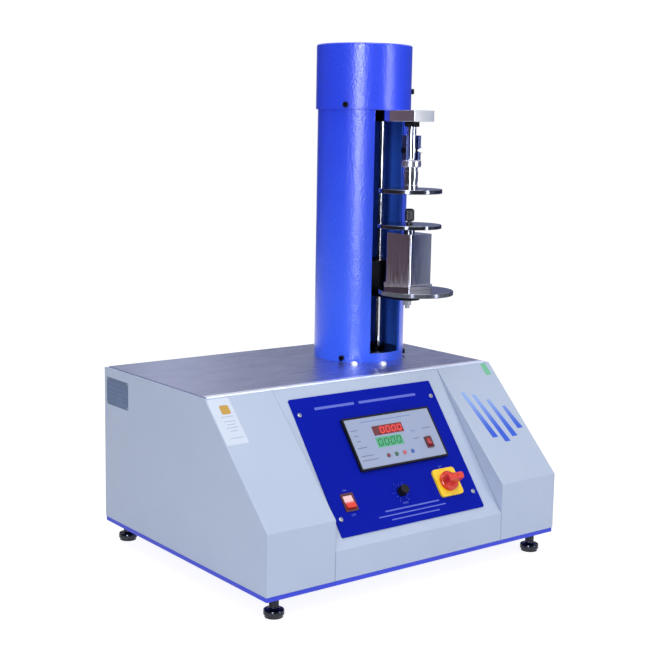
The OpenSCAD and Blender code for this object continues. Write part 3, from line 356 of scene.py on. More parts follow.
@dataclass(frozen=True)
class TubeCoat(PowderCoat):
    """Powder on a slotted tube, with painted shade in its bore: the bore is dark except across from the
    slot.

    Attributes:
        bare: Colour of the painted shade in the bore, nearly black.
        inner: Colour of the bore across from the slot, lighter than the outside.
        bore: Radius in mm inside which the bore starts.
        soft: Half of the width in mm over which it does.
        reach: X in mm where the bore's painted shade starts to give way to the inner colour, and where it is
            gone.
    """

    bare: str = "#05060f"
    inner: str = "#3f78ff"
    bore: float = 82.0
    soft: float = 0.6
    reach: Point = (16.0, 34.0)

    def cover(self, paint: Paint) -> None:
        """Paints shade into the bore: dark except across from the slot.

        Args:
            paint: The material in the making.
        """
        tree, painted = paint.tree, paint.shader.inputs["Base Color"].links[0].from_socket
        flat, radius = paint.around(COLUMN_AXIS)
        low, high = (self.bore - self.soft) * MM, (self.bore + self.soft) * MM
        rim = {"Value": radius, "From Min": low, "From Max": high}
        outside = add_node(tree, "ShaderNodeMapRange", rim).outputs[0]
        # Painted shade: the bore is nearly black away from the slot and turns to the inner colour across
        # from it
        across = add_node(tree, "ShaderNodeSeparateXYZ", {0: flat}).outputs["X"]
        span = {"Value": across, "From Min": self.reach[0] * MM, "From Max": self.reach[1] * MM}
        sprayed = add_node(tree, "ShaderNodeMapRange", span).outputs[0]
        colours = {"data_type": "RGBA", 0: sprayed, 6: linear(self.bare), 7: linear(self.inner)}
        bore = add_node(tree, "ShaderNodeMix", colours).outputs[2]
        colours = {"data_type": "RGBA", 0: outside, 6: bore, 7: painted}
        plug(paint.shader, {"Base Color": add_node(tree, "ShaderNodeMix", colours).outputs[2]})


@dataclass(frozen=True)
class BrushedMetal(Finish):
    """Ground or brushed metal: fine scratches along one way, in the gloss and in the relief.

    Attributes:
        lay: Way that the scratches run.
    """

    lay: Lay = Lay.EVEN
    METAL = 1.0
    SPOTS = (45.0, 0.55)
    HAZE = (0.0, -0.05, 0.07)

    def laid(self, paint: Paint) -> Paint:
        """Gives the paint with coordinates that are stretched along the lay."""
        stretch = {"Vector": paint.place, "Scale": self.lay.value}
        return Paint(paint.shader, add_node(paint.tree, "ShaderNodeMapping", stretch).outputs["Vector"])


@dataclass(frozen=True)
class TurnedMetal(Finish):
    """Metal faced in a lathe: rings round the turning axis, which catch the light as a fan.

    Attributes:
        centre: Turning axis in X and Y, in mm.
    """

    centre: Point = LOAD_AXIS
    METAL = 1.0
    SPOTS = (30.0, 0.6)
    HAZE = (0.0, -0.05, 0.07)

    def dress(self, paint: Paint) -> None:
        """Adds rings by the distance from the axis, and stains.

        Args:
            paint: The material in the making.
        """
        radius = paint.around(self.centre)[1]
        rings = {"noise_dimensions": "1D", "W": radius, "Scale": 1 / (self.grain * MM), "Detail": 2.0}
        cut = add_node(paint.tree, "ShaderNodeTexNoise", rings).outputs["Fac"]
        low, high = (self.roughness + change for change in self.HAZE[1:])
        span = {"Value": cut, **SPREAD, "To Min": low, "To Max": high}
        plug(paint.shader, {"Roughness": add_node(paint.tree, "ShaderNodeMapRange", span).outputs[0]})
        paint.tint(paint.mottle(self.SPOTS[0], 0.0, self.SPOTS[1]), self.other)
        paint.relief(cut, self.depth, self.edge)


@dataclass(frozen=True)
class ChromePlate(Finish):
    """Bright chrome plate on turned steel: a mirror with a faint haze where it is handled."""

    grain: float = 14.0
    depth: float = 0.002
    METAL = 1.0
    SPOTS = (0.0, 0.0)
    HAZE = (0.0, 0.0, 0.07)


@dataclass(frozen=True)
class MouldedPlastic(Finish):
    """Injection moulded plastic: an even colour with a spark-eroded grain from the mould."""


@dataclass(frozen=True)
class Ink(MouldedPlastic):
    """Screen ink: flat and even."""

    roughness: float = 0.5
    edge: float = 0.0
    grain: float = 0.9
    depth: float = 0.0


@dataclass(frozen=True)
class SpangledZinc(Finish):
    """Hot-dip galvanised sheet: flat crystals 6 to 12 mm wide, each with its own grey."""

    grain: float = 8.0
    depth: float = 0.01
    other: str = "#8a8e92"
    METAL = 1.0
    SPOTS = (0.0, 0.6)
    HAZE = (0.0, -0.08, 0.08)

    def dress(self, paint: Paint) -> None:
        """Adds the crystals to the colour and the gloss.

        Args:
            paint: The material in the making.
        """
        cells = {"Vector": paint.place, "Scale": 1 / (self.grain * MM)}
        colour = add_node(paint.tree, "ShaderNodeTexVoronoi", cells).outputs["Color"]
        grey = add_node(paint.tree, "ShaderNodeSeparateColor", {"Color": colour}).outputs["Red"]
        low, high = (self.roughness + change for change in self.HAZE[1:])
        span = {"Value": grey, "To Min": low, "To Max": high}
        plug(paint.shader, {"Roughness": add_node(paint.tree, "ShaderNodeMapRange", span).outputs[0]})
        share = add_node(paint.tree, "ShaderNodeMapRange", {"Value": grey, "To Max": self.SPOTS[1]})
        paint.tint(share.outputs[0], self.other)
        paint.relief(grey, self.depth, self.edge)


# Shapes


def shift(x: float, y: float, z: float) -> Matrix:
    """Gives a move by millimetres, as a matrix in metres."""
    return Matrix.Translation(Vector((x, y, z)) * MM)


@dataclass(frozen=True)
class Slope:
    """A sloping face of the cabinet, with X across, a rise along it, and a distance out of it.

    Attributes:
        foot_y: Y of its lower edge in mm.
        foot_z: Z of its lower edge in mm.
        angle: Angle above the floor in degrees.
    """

    foot_y: float
    foot_z: float
    angle: float

    def at(self, x: float, rise: float, out: float = 0.0) -> Matrix:
        """Gives a place on the slope.

        Args:
            x: Place across in mm.
            rise: Place up the slope in mm.
            out: Distance out of the face in mm.

        Returns:
            Matrix in metres whose Z points out of the face.
        """
        a = math.radians(self.angle)
        y = self.foot_y + rise * math.cos(a) - out * math.sin(a)
        z = self.foot_z + rise * math.sin(a) + out * math.cos(a)
        return shift(x, y, z) @ Matrix.Rotation(a, 4, "X")

    def fade(self, far: str, low: float, high: float) -> Fade:
        """Gives a fade up the slope.

        Args:
            far: Colour at its upper end.
            low: Rise in mm where it starts.
            high: Rise where it ends.

        Returns:
            The fade.
        """
        a = math.radians(self.angle)
        foot = self.foot_y * math.cos(a) + self.foot_z * math.sin(a)
        return Fade(far, (0.0, math.cos(a), math.sin(a)), foot + low, foot + high)


BAY = Slope(-255.0, 91.0, 52.08993)
WING = Slope(-255.0, 142.0, 44.84167)


def rounded(w: float, h: float, r: float, steps: int = 6) -> list[Point]:
    """Gives the outline of a rounded rectangle about the origin, counter-clockwise.

    Args:
        w: Width.
        h: Height.
        r: Radius of the corners.
        steps: Points in a corner.

    Returns:
        The points.
    """
    outline = []
    for k, (sx, sy) in enumerate(((1, 1), (-1, 1), (-1, -1), (1, -1))):
        for i in range(steps + 1):
            a = math.radians(90 * (k + i / steps))
            outline.append((sx * (w / 2 - r) + r * math.cos(a), sy * (h / 2 - r) + r * math.sin(a)))
    return outline


def rectangle(x0: float, x1: float, y0: float, y1: float) -> list[Point]:
    """Gives the outline of a rectangle between two X and two Y, counter-clockwise."""
    return [(x0, y0), (x1, y0), (x1, y1), (x0, y1)]


@dataclass
class Shape:
    """Vertices and faces in millimetres, collected before they become one piece."""

    verts: list[Vector] = field(default_factory=list)
    faces: list[tuple[int, ...]] = field(default_factory=list)

    def slab(self, outline: list[Point], low: float, high: float, bevel: float = 0.0) -> Shape:
        """Adds a closed slab over an outline, with its upper edge bevelled inwards.

        Args:
            outline: Counter-clockwise points round the slab.
            low: Height of the lower face.
            high: Height of the upper face.
            bevel: Width of the bevel.

        Returns:
            The shape itself.
        """
        n = len(outline)
        cx = sum(p[0] for p in outline) / n
        cy = sum(p[1] for p in outline) / n
        reach = max(math.hypot(p[0] - cx, p[1] - cy) for p in outline)
        rings = [(low, 1.0), (high, 1.0)]
        if bevel:
            rings = [(low, 1.0), (high - bevel, 1.0), (high, 1 - bevel / reach)]
        start = len(self.verts)
        for z, s in rings:
            self.verts += [Vector((cx + (x - cx) * s, cy + (y - cy) * s, z)) for x, y in outline]
        for k in range(len(rings) - 1):
            self.band(start + k * n, start + (k + 1) * n, n)
        self.faces.append(tuple(start + n - 1 - i for i in range(n)))
        top = start + (len(rings) - 1) * n
        self.faces.append(tuple(top + i for i in range(n)))
        return self

    def band(self, low: int, high: int, n: int) -> None:
        """Joins two rings of vertices with faces.

        Args:
            low: First vertex of the lower ring.
            high: First vertex of the upper ring.
            n: Vertices in a ring.
        """
        for i in range(n):
            j = (i + 1) % n
            self.faces.append((low + i, low + j, high + j, high + i))

    def lathe(self, profile: list[Point], steps: int = 64) -> Shape:
        """Adds a body of revolution about Z.

        Args:
            profile: Radius and height from the lower pole to the upper pole.
            steps: Faces round the axis.

        Returns:
            The shape itself.
        """
        start = len(self.verts)
        inner = profile[1:-1]
        for r, z in inner:
            turns = (math.tau * i / steps for i in range(steps))
            self.verts += [Vector((r * math.cos(t), r * math.sin(t), z)) for t in turns]
        low, high = len(self.verts), len(self.verts) + 1
        self.verts += [Vector((0, 0, profile[0][1])), Vector((0, 0, profile[-1][1]))]
        last = start + (len(inner) - 1) * steps
        for k in range(len(inner) - 1):
            self.band(start + k * steps, start + (k + 1) * steps, steps)
        for i in range(steps):
            j = (i + 1) % steps
            self.faces.append((low, start + j, start + i))
            self.faces.append((high, last + i, last + j))
        return self

    def placed(self, place: Matrix) -> Shape:
        """Moves and turns the shape. The matrix is in metres."""
        self.verts = [(place @ (v * MM)) / MM for v in self.verts]
        return self

    def join(self, other: Shape) -> Shape:
        """Adds another shape to this one.

        Args:
            other: The other shape.

        Returns:
            The shape itself.
        """
        start = len(self.verts)
        self.verts += other.verts
        self.faces += [tuple(start + i for i in f) for f in other.faces]
        return self

    def piece(self, name: str, finish: Finish, body: str, slot: str, *stands_for: str) -> Thing:
        """Makes the piece, at the origin and riding on its body.

        Args:
            name: Name of the piece.
            finish: Its finish.
            body: Body that it moves with.
            slot: Not used.
            stands_for: Nodes that it replaces.

        Returns:
            The new object.
        """
        mesh = bpy.data.meshes.new(name)
        mesh.from_pydata([v * MM for v in self.verts], [], self.faces)
        mesh.shade_smooth()
        mesh.set_sharp_from_angle(angle=SHARP)
        mesh.materials.append(finish.material())
        thing = bpy.data.objects.new(name, mesh)
        bpy.context.scene.collection.objects.link(thing)
        return mount(thing, body, slot, *stands_for)


def mount(thing: Thing, body: str, slot: str, *stands_for: str) -> Thing:
    """Sets what a piece rides on and stands for, and reports it.

    Args:
        thing: The finished piece.
        body: Body that it moves with.
        slot: Not used.
        stands_for: Nodes that it replaces.

    Returns:
        The piece.
    """
    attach(thing, body)
    if stands_for:
        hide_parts(*stands_for)
    LOG.info("piece %s rides on %s", thing.name, body)
    return thing


def lettering(text: str, height: float, place: Matrix) -> Shape:
    """Turns generic text, such as dial numbers, into flat faces.

    Args:
        text: The text.
        height: Height of a capital in mm.
        place: Where its centre lies, in metres.

    Returns:
        The text's faces in mm.
    """
    curve = bpy.data.curves.new("text", "FONT")
    curve.body = text
    curve.size = height * FONT_SIZE
    curve.align_x = "CENTER"
    curve.align_y = "CENTER"
    curve.resolution_u = 3
    holder = bpy.data.objects.new("text", curve)
    bpy.context.scene.collection.objects.link(holder)
    graph = bpy.context.evaluated_depsgraph_get()
    mesh = bpy.data.meshes.new_from_object(holder.evaluated_get(graph))
    flat = Shape([v.co.copy() for v in mesh.vertices], [tuple(p.vertices) for p in mesh.polygons])
    bpy.data.objects.remove(holder)
    bpy.data.curves.remove(curve)
    bpy.data.meshes.remove(mesh)
    return flat.placed(place)


# Geometry node trees


@dataclass(frozen=True)
class Seat:
    """A place in mm with the XYZ angles that turn +Z out of the surface."""

    spot: Place
    turn: Place

    @classmethod
    def on(cls, place: Matrix, turn: float = 0.0) -> Seat:
        """Makes a seat from a matrix in metres, turned about its own Z by radians."""
        turned = place.to_3x3() @ Matrix.Rotation(turn, 3, "Z")
        return cls(tuple(place.translation / MM), tuple(turned.to_euler("XYZ")))


class GrowTree:
    """A Geometry Nodes tree with named inputs, whose result becomes a plain piece."""

    def __init__(self, name: str, sizes: dict[str, float | int | Place]) -> None:
        """Starts a tree.

        Args:
            name: Name of the tree and of its piece.
            sizes: Its inputs and their values. Lengths are in mm.
        """
        self.name = name
        self.tree = bpy.data.node_groups.new(name, "GeometryNodeTree")
        face = self.tree.interface
        face.new_socket(name="Geometry", in_out="OUTPUT", socket_type="NodeSocketGeometry")
        face.new_socket(name="Geometry", in_out="INPUT", socket_type="NodeSocketGeometry")
        kinds = {int: "NodeSocketInt", float: "NodeSocketFloat", tuple: "NodeSocketVector"}
        self.values: dict[str, float | int | Place] = {}
        for key, value in sizes.items():
            made = face.new_socket(name=key, in_out="INPUT", socket_type=kinds[type(value)])
            self.values[made.identifier] = value
        self.size = add_node(self.tree, "NodeGroupInput").outputs

    def on_seats(self, shape: Socket) -> Socket:
        """Puts a copy of a shape on each seat.

        Args:
            shape: Shape whose Z is to point out of the surface.

        Returns:
            The copies.
        """
        angles = {"data_type": "FLOAT_VECTOR", "Name": "turn"}
        turn = add_node(self.tree, "GeometryNodeInputNamedAttribute", angles).outputs[0]
        turned = add_node(self.tree, "FunctionNodeEulerToRotation", {0: turn}).outputs[0]
        copies = {"Points": self.size["Geometry"], "Instance": shape, "Rotation": turned}
        return add_node(self.tree, "GeometryNodeInstanceOnPoints", copies).outputs[0]

    def grow(self, result: Socket, finish: Finish, seats: list[Seat]) -> Thing:
        """Ends the tree and turns its result into a plain mesh in metres.

        Args:
            result: Geometry to keep.
            finish: Its finish.
            seats: Places that the tree starts from, if it needs them.

        Returns:
            The object, without its modifier, not yet riding.
        """
        metres = {"Geometry": result, "Scale": (MM, MM, MM)}
        scaled = add_node(self.tree, "GeometryNodeTransform", metres).outputs[0]
        real = add_node(self.tree, "GeometryNodeRealizeInstances", {0: scaled}).outputs[0]
        coated = {"Geometry": real, "Material": finish.material()}
        dressed = add_node(self.tree, "GeometryNodeSetMaterial", coated).outputs[0]
        add_node(self.tree, "NodeGroupOutput", {0: dressed})
        mesh = bpy.data.meshes.new(self.name)
        mesh.from_pydata([seat.spot for seat in seats], [], [])
        turns = mesh.attributes.new("turn", "FLOAT_VECTOR", "POINT")
        for i, seat in enumerate(seats):
            turns.data[i].vector = seat.turn
        holder = bpy.data.objects.new(self.name, mesh)
        bpy.context.scene.collection.objects.link(holder)
        modifier = holder.modifiers.new("grow", "NODES")
        modifier.node_group = self.tree
        for mark, value in self.values.items():
            modifier[mark] = value
        graph = bpy.context.evaluated_depsgraph_get()
        plain = bpy.data.meshes.new_from_object(holder.evaluated_get(graph), depsgraph=graph)
        holder.modifiers.remove(modifier)
        holder.data = plain
        plain.name = self.name
        plain.shade_smooth()
        plain.set_sharp_from_angle(angle=SHARP)
        return holder


def copied_bars(name: str, bar: Place, seats: list[Seat], finish: Finish) -> Thing:
    """Grows a small bar on each seat.

    Args:
        name: Name of the piece.
        bar: Size of a bar in mm.
        seats: Places of the bars.
        finish: Their finish.

    Returns:
        The object, not yet riding.
    """
    grow = GrowTree(name, {"Bar size": bar})
    cube = add_node(grow.tree, "GeometryNodeMeshCube", {"Size": grow.size["Bar size"]})
    return grow.grow(grow.on_seats(cube.outputs["Mesh"]), finish, seats)


class Recess(Enum):
    """Drive of a screw head: a cross slot, or a hexagon."""

    CROSS = 4
    HEXAGON = 6


@dataclass
class ScrewSet:
    """Screw heads of one kind, set wherever the seats say.

    Attributes:
        name: Name of the piece.
        recess: Kind of recess.
        radius: Radius of the head.
        rim: Height of the head's straight rim.
        dome: Height of the part that narrows above the rim.
        top: Radius of the head's top.
        drive: Width of the recess.
        deep: Depth of the recess.
        cross_turn: Turn of a cross slot in radians.
    """

    name: str
    recess: Recess
    radius: float
    rim: float
    dome: float
    top: float
    drive: float
    deep: float
    cross_turn: float = 0.4

    def build(self, seats: list[Seat], finish: Finish) -> Thing:
        """Grows the heads on their seats.

        Args:
            seats: Places of the heads.
            finish: Their finish.

        Returns:
            The object, not yet riding.
        """
        sizes = {
            "Head radius": self.radius,
            "Rim height": self.rim,
            "Top radius": self.top,
            "Dome height": self.dome,
            "Dome place": (0.0, 0.0, self.rim),
            "Recess radius": self.drive * HEXAGON_R,
            "Recess depth": self.deep * 2,
            "Recess bar": (self.drive * 2.6, self.drive * 0.55, self.deep * 2),
            "Recess place": (0.0, 0.0, self.rim + self.dome),
        }
        grow = GrowTree(self.name, sizes)
        tree, size = grow.tree, grow.size
        straight = {"Radius Top": size["Head radius"], "Depth": size["Rim height"]}
        narrow = {"Radius Top": size["Top radius"], "Depth": size["Dome height"]}
        round_part = {"Vertices": 40, "Radius Bottom": size["Head radius"]}
        rim = add_node(tree, "GeometryNodeMeshCone", {**round_part, **straight}).outputs["Mesh"]
        dome = add_node(tree, "GeometryNodeMeshCone", {**round_part, **narrow}).outputs["Mesh"]
        lift = {"Geometry": dome, "Translation": size["Dome place"]}
        lifted = add_node(tree, "GeometryNodeTransform", lift).outputs[0]
        head = add_node(tree, "GeometryNodeMeshBoolean", {"operation": "UNION", 1: [rim, lifted]}).outputs[0]
        if self.recess is Recess.HEXAGON:
            prism = {"Vertices": 6, "Radius": size["Recess radius"], "Depth": size["Recess depth"]}
            tool, turns = add_node(tree, "GeometryNodeMeshCylinder", prism), (0.0,)
        else:
            tool = add_node(tree, "GeometryNodeMeshCube", {"Size": size["Recess bar"]})
            turns = (self.cross_turn, self.cross_turn + math.pi / 2)
        sunk = {"Geometry": tool.outputs["Mesh"], "Translation": size["Recess place"]}
        moves = [{**sunk, "Rotation": (0, 0, turn)} for turn in turns]
        tools = [add_node(tree, "GeometryNodeTransform", move).outputs[0] for move in moves]
        cut = {"operation": "DIFFERENCE", 0: head, 1: tools}
        shape = add_node(tree, "GeometryNodeMeshBoolean", cut).outputs[0]
        return grow.grow(grow.on_seats(shape), finish, seats)


@dataclass
class Thread:
    """A square helical ridge round a core.

    Attributes:
        name: Name of the piece.
        core: Radius of the core.
        ridge: Height of the ridge over the core.
        pitch: Distance between turns.
        low: Height where it starts.
        high: Height where it ends.
    """

    name: str
    core: float
    ridge: float
    pitch: float
    low: float
    high: float

    def build(self, centre: Point, finish: Finish) -> Thing:
        """Grows the ridge along a spiral.

        Args:
            centre: Axis in X and Y, in mm.
            finish: Its finish.

        Returns:
            The object, not yet riding.
        """
        sizes = {
            "Core radius": self.core,
            "Ridge width": self.ridge * 2,
            "Pitch": self.pitch,
            "Thread length": self.high - self.low,
            "Thread place": (*centre, self.low),
        }
        grow = GrowTree(self.name, sizes)
        tree, size = grow.tree, grow.size
        share = {"operation": "DIVIDE", 0: size["Thread length"], 1: size["Pitch"]}
        turns = add_node(tree, "ShaderNodeMath", share).outputs[0]
        radii = {"Start Radius": size["Core radius"], "End Radius": size["Core radius"]}
        run = {"Resolution": 28, "Rotations": turns, "Height": size["Thread length"], **radii}
        spiral = add_node(tree, "GeometryNodeCurveSpiral", run).outputs[0]
        upright = add_node(tree, "GeometryNodeSetCurveNormal", {"mode": "Z_UP", 0: spiral}).outputs[0]
        square = {"Width": size["Ridge width"], "Height": size["Ridge width"]}
        profile = add_node(tree, "GeometryNodeCurvePrimitiveQuadrilateral", square).outputs[0]
        sweep = {"Curve": upright, "Profile Curve": profile, "Fill Caps": True}
        ridge = add_node(tree, "GeometryNodeCurveToMesh", sweep).outputs[0]
        move = {"Geometry": ridge, "Translation": size["Thread place"]}
        return grow.grow(add_node(tree, "GeometryNodeTransform", move).outputs[0], finish, [])


# The real finishes. Each comment says what the finish gives the eye. The values are the
# colour, the roughness, the broken edge, the grain's width and depth, and the spots' colour.

# Baked polyester powder: satin, even, hardly any gloss, soft highlights on the folds
CABINET_PAINT = PowderCoat("powder_coated_pale_grey", "#b6c3da", 0.45, 1.6, 2.0, 0.012, "#adbbd3")
# The same powder in royal blue, with a clear top: a soft upright highlight broken by the peel
BLUE_COAT = ("#2146f2", 0.42, 0.8, 3.6, 0.26, "#1b3ee6", 0.85, 0.2)
# Painted light: the column turns a lighter blue towards its foot, standing in for light bounced up from the
# deck
BOUNCE_LIGHT_FADE = Fade("#2f63ff", (0.0, 0.0, -1.0), -820.0, -330.0)
# The tube's bore carries painted shade, from TubeCoat
COLUMN_PAINT = TubeCoat("powder_coated_royal_blue", *BLUE_COAT, course=BOUNCE_LIGHT_FADE)
# The cap has the same powder, with no bore below it
CAP_PAINT = PowderCoat("powder_coated_blue_cap", *BLUE_COAT)
# Powder on the folded tray: flatter and a little duller than the column
BASE_PAINT = PowderCoat("powder_coated_base_blue", "#2a40dc", 0.45, 0.8, 2.0, 0.02, "#2438c8")
# Ink printed on the back of a matt film: deep, even, almost no reflection
PLATE_INK = PowderCoat("screen_printed_deep_blue", "#061aa4", 0.55, 0.3, 0.8, 0.004, "#05189a", 0.0, 0.04)
# Fine-brushed stainless sheet: a wide grey sheen that softly mirrors what stands on it
ACROSS = {"lay": Lay.ACROSS}
DECK_STEEL = BrushedMetal("brushed_stainless_sheet", "#b2b4cc", 0.3, 0.9, 1.6, 0.004, "#a3a5c0", **ACROSS)
# The same sheet along its front fold, paler: a painted highlight that shows as a pale line
PALE_EDGE_HIGHLIGHT = BrushedMetal("polished_stainless_fold", "#eceef8", 0.42, 0.3, 1.6, 0.002, "#dfe2f0", **ACROSS)
# Surface-ground tool steel: a dark mirror with upright grinding marks and bright corners
UPRIGHT = {"lay": Lay.UPRIGHT}
BLOCK_STEEL = BrushedMetal("ground_tool_steel", "#c9c8d2", 0.07, 0.7, 0.9, 0.004, "#b4b2bd", **UPRIGHT)
# Milled and polished bright steel: mirrors light and dark fields with a slight blur
ARM_STEEL = BrushedMetal("milled_bright_steel", "#b9b9c0", 0.16, 0.8, 0.9, 0.004, "#a6a5ae", **ACROSS)
# The same, lapped bright: its front end mirrors the white card
LAPPED_STEEL = BrushedMetal("lapped_bright_steel", "#f2f4fa", 0.07, 1.6, 0.9, 0.001, "#d2d4de", **ACROSS)
# Lathe-faced steel: fine rings, dark at the rim with small bright spots
PLATEN_STEEL = TurnedMetal("turned_platen_steel", "#747682", 0.13, 0.6, 1.1, 0.01, "#62646f")
# Ground steel, dipped in black oxide upside down and wiped: a bright base, dark prongs above
DIPPED = Fade("#5a6496", (0.0, 0.0, 1.0), 690.8, 691.8)
YOKE_STEEL = BrushedMetal(
    "half_dipped_yoke_steel", "#d6d5e4", 0.24, 0.8, 0.9, 0.004, "#b0afc0", **UPRIGHT, course=DIPPED
)
# Hard chrome: a clear mirror, so long thin bright lines on rods
CHROME = ChromePlate("bright_chrome_plate", "#d2d4da", 0.07, 0.4)
# Dark chrome over a coarse casting: the feet look almost black with bright glints
DARK_CHROME = ChromePlate("dark_chrome_plate", "#3a3c43", 0.12, 0.6)
# Small domes and a ball in near-white metal: a painted glint, white wherever the light comes from
GLINT_WHITE_METAL = BrushedMetal("white_nickel_plate", "#fbfcff", 0.55, 0.3, 2.0, 0.002, "#eceef4")
# Black oxide: dark, oily, dull glints on edges
BLACK_OXIDE = BrushedMetal("black_oxide_steel", "#1b1b1e", 0.42, 0.3, 0.8, 0.006, "#0f0f11")
# Zinc plate: grey, cloudy
ZINC_PLATE = BrushedMetal("zinc_plated_steel", "#9a9da2", 0.4, 0.4, 3.0, 0.004, "#868a90")
# Hot-dip zinc: a patchwork of grey crystals
SPANGLE = SpangledZinc("galvanised_case_sheet", "#a7abb0", 0.36)
# Machined aluminium: pale with fine cutter marks
ALUMINIUM = BrushedMetal("machined_aluminium", "#b9bcc0", 0.32, 0.3, 0.8, 0.005, "#a4a7ac")
# Etched aluminium plate: grey-blue and dull
PLATE_METAL = BrushedMetal("etched_aluminium_plate", "#6c7d9c", 0.45, 0.2, 0.8, 0.003, "#55647f", **ACROSS)
# Oil-filled sintered bronze: brown, slightly porous
BRONZE = BrushedMetal("sintered_bronze", "#a3743a", 0.4, 0.3, 0.5, 0.01, "#7d5527")
# ABS from a spark-eroded mould: black with a faint grain
BLACK_PLASTIC = MouldedPlastic("moulded_black_abs", "#0a0a0e", 0.5, specular=0.2)
# Polished phenolic: black with one sharp white glint
BLACK_GLOSS = MouldedPlastic("polished_black_phenolic", "#0b0b0d", 0.3, 0.8, 0.9, 0.0, coat=0.3)
# Grey ABS housings: dull
GREY_PLASTIC = MouldedPlastic("moulded_grey_abs", "#5b5d61", 0.45)
# Polished ABS in signal colours: bright, with a thin gloss
YELLOW_PLASTIC = MouldedPlastic("polished_yellow_abs", "#fbd41a", 0.3, 0.6, 0.9, 0.008, coat=0.2)
RED_PLASTIC = MouldedPlastic("polished_red_abs", "#dd2a10", 0.28, 0.7, 0.9, 0.008, coat=0.3)
# Wine-red frame of the lit switch: very dark
BEZEL_PLASTIC = MouldedPlastic("moulded_wine_red_abs", "#520a18", 0.35, 0.5)
# Clear red polycarbonate over a lamp: red, with its upper half painted pale pink, a painted highlight from
# the light above
ROCKER_HIGHLIGHT_FADE = BAY.fade("#f8ccd0", 70.5, 76.5)
LIT_RED = MouldedPlastic(
    "lit_red_polycarbonate", "#e6301e", 0.3, 0.5, 0.9, 0.004, coat=0.2, course=ROCKER_HIGHLIGHT_FADE
)  # fmt: skip
TARE_RED = MouldedPlastic("small_red_polycarbonate", "#a81624", 0.25, 0.3, 0.9, 0.004, coat=0.4)
# Matt polyester film over the meter: pale grey, takes a soft reflection
FACE_FILM = MouldedPlastic("pale_polyester_film", "#99a5c3", 0.4, 0.2, 0.9, 0.003)
# Tinted windows, which look nearly even from afar because their digits glow through
WINDOW_RED = MouldedPlastic("red_filter_window", "#5e0b16", 0.3, 0.1, 0.9, 0.0, coat=0.3)
GLOW_RED = Ink("red_filter_glow", "#8c0e18", 0.3, glow=0.12)
WINDOW_GREEN = MouldedPlastic(
    "green_filter_window", "#45a878", 0.3, 0.1, 0.9, 0.0, coat=0.2, glow=0.08
)  # fmt: skip
RED_LIGHT = Ink("red_led_segment", "#e8463c", 0.3, glow=0.3)
GREEN_DARK = Ink("green_segment_ink", "#0a4a2a", 0.3)
# Domed key caps: saturated, with a small gloss
KEY_FINISHES = [
    MouldedPlastic(f"key_{name}_abs", colour, 0.3, 0.4, 0.9, 0.004, coat=0.3)
    for name, colour in (
        ("dark_red", "#6d1a2c"), ("green", "#1d5c3c"), ("light_red", "#c3545a"), ("blue", "#2a5fb4")
    )
]  # fmt: skip
# Moulded neoprene: black and dull
RUBBER = MouldedPlastic("black_belt_rubber", "#121213", 0.7, 0.2, 1.2, 0.03)
# Screen inks: flat and even
GREY_INK = Ink("grey_print", "#5c6682")
PALE_INK = Ink("pale_grey_print", "#a9b4cc")
OCHRE_INK = Ink("ochre_print", "#c2963a")
DIM_INK = Ink("dim_white_print", "#5565cc")
BLUE_INK = Ink("blue_print", "#5d76b8")
# Vinyl film: smooth, with a weak gloss
VINYL = (0.4, 0.1, 1.5, 0.003)
WHITE_VINYL = MouldedPlastic("white_vinyl_sticker", "#d0d9ea", *VINYL)
GREEN_VINYL = MouldedPlastic("green_vinyl_sticker", "#6fbf98", *VINYL)
# Printed bars: light blue above, deep blue below
BAR_VINYL = MouldedPlastic("faded_blue_vinyl", "#1f55d6", *VINYL, course=WING.fade("#8fb0ee", 100, 190))


# Sub-assemblies


@dataclass
class Assembly:
    """A sub-assembly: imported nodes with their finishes, and what the scene adds to them.

    WEAR lists its finishes, each with the nodes that get it.

    Attributes:
        nodes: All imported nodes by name.
    """

    nodes: dict[str, Thing]
    WEAR = ()

    def dress(self) -> None:
        """Gives the nodes their finishes, through their own material slots."""
        for finish, names in self.WEAR:
            made = finish.material()
            for name in names.split():
                thing = self.nodes[name]
                if not thing.material_slots:
                    thing.data.materials.append(made)
                for place in thing.material_slots:
                    place.material = made
                LOG.info("node %s is %s", name, finish.name)


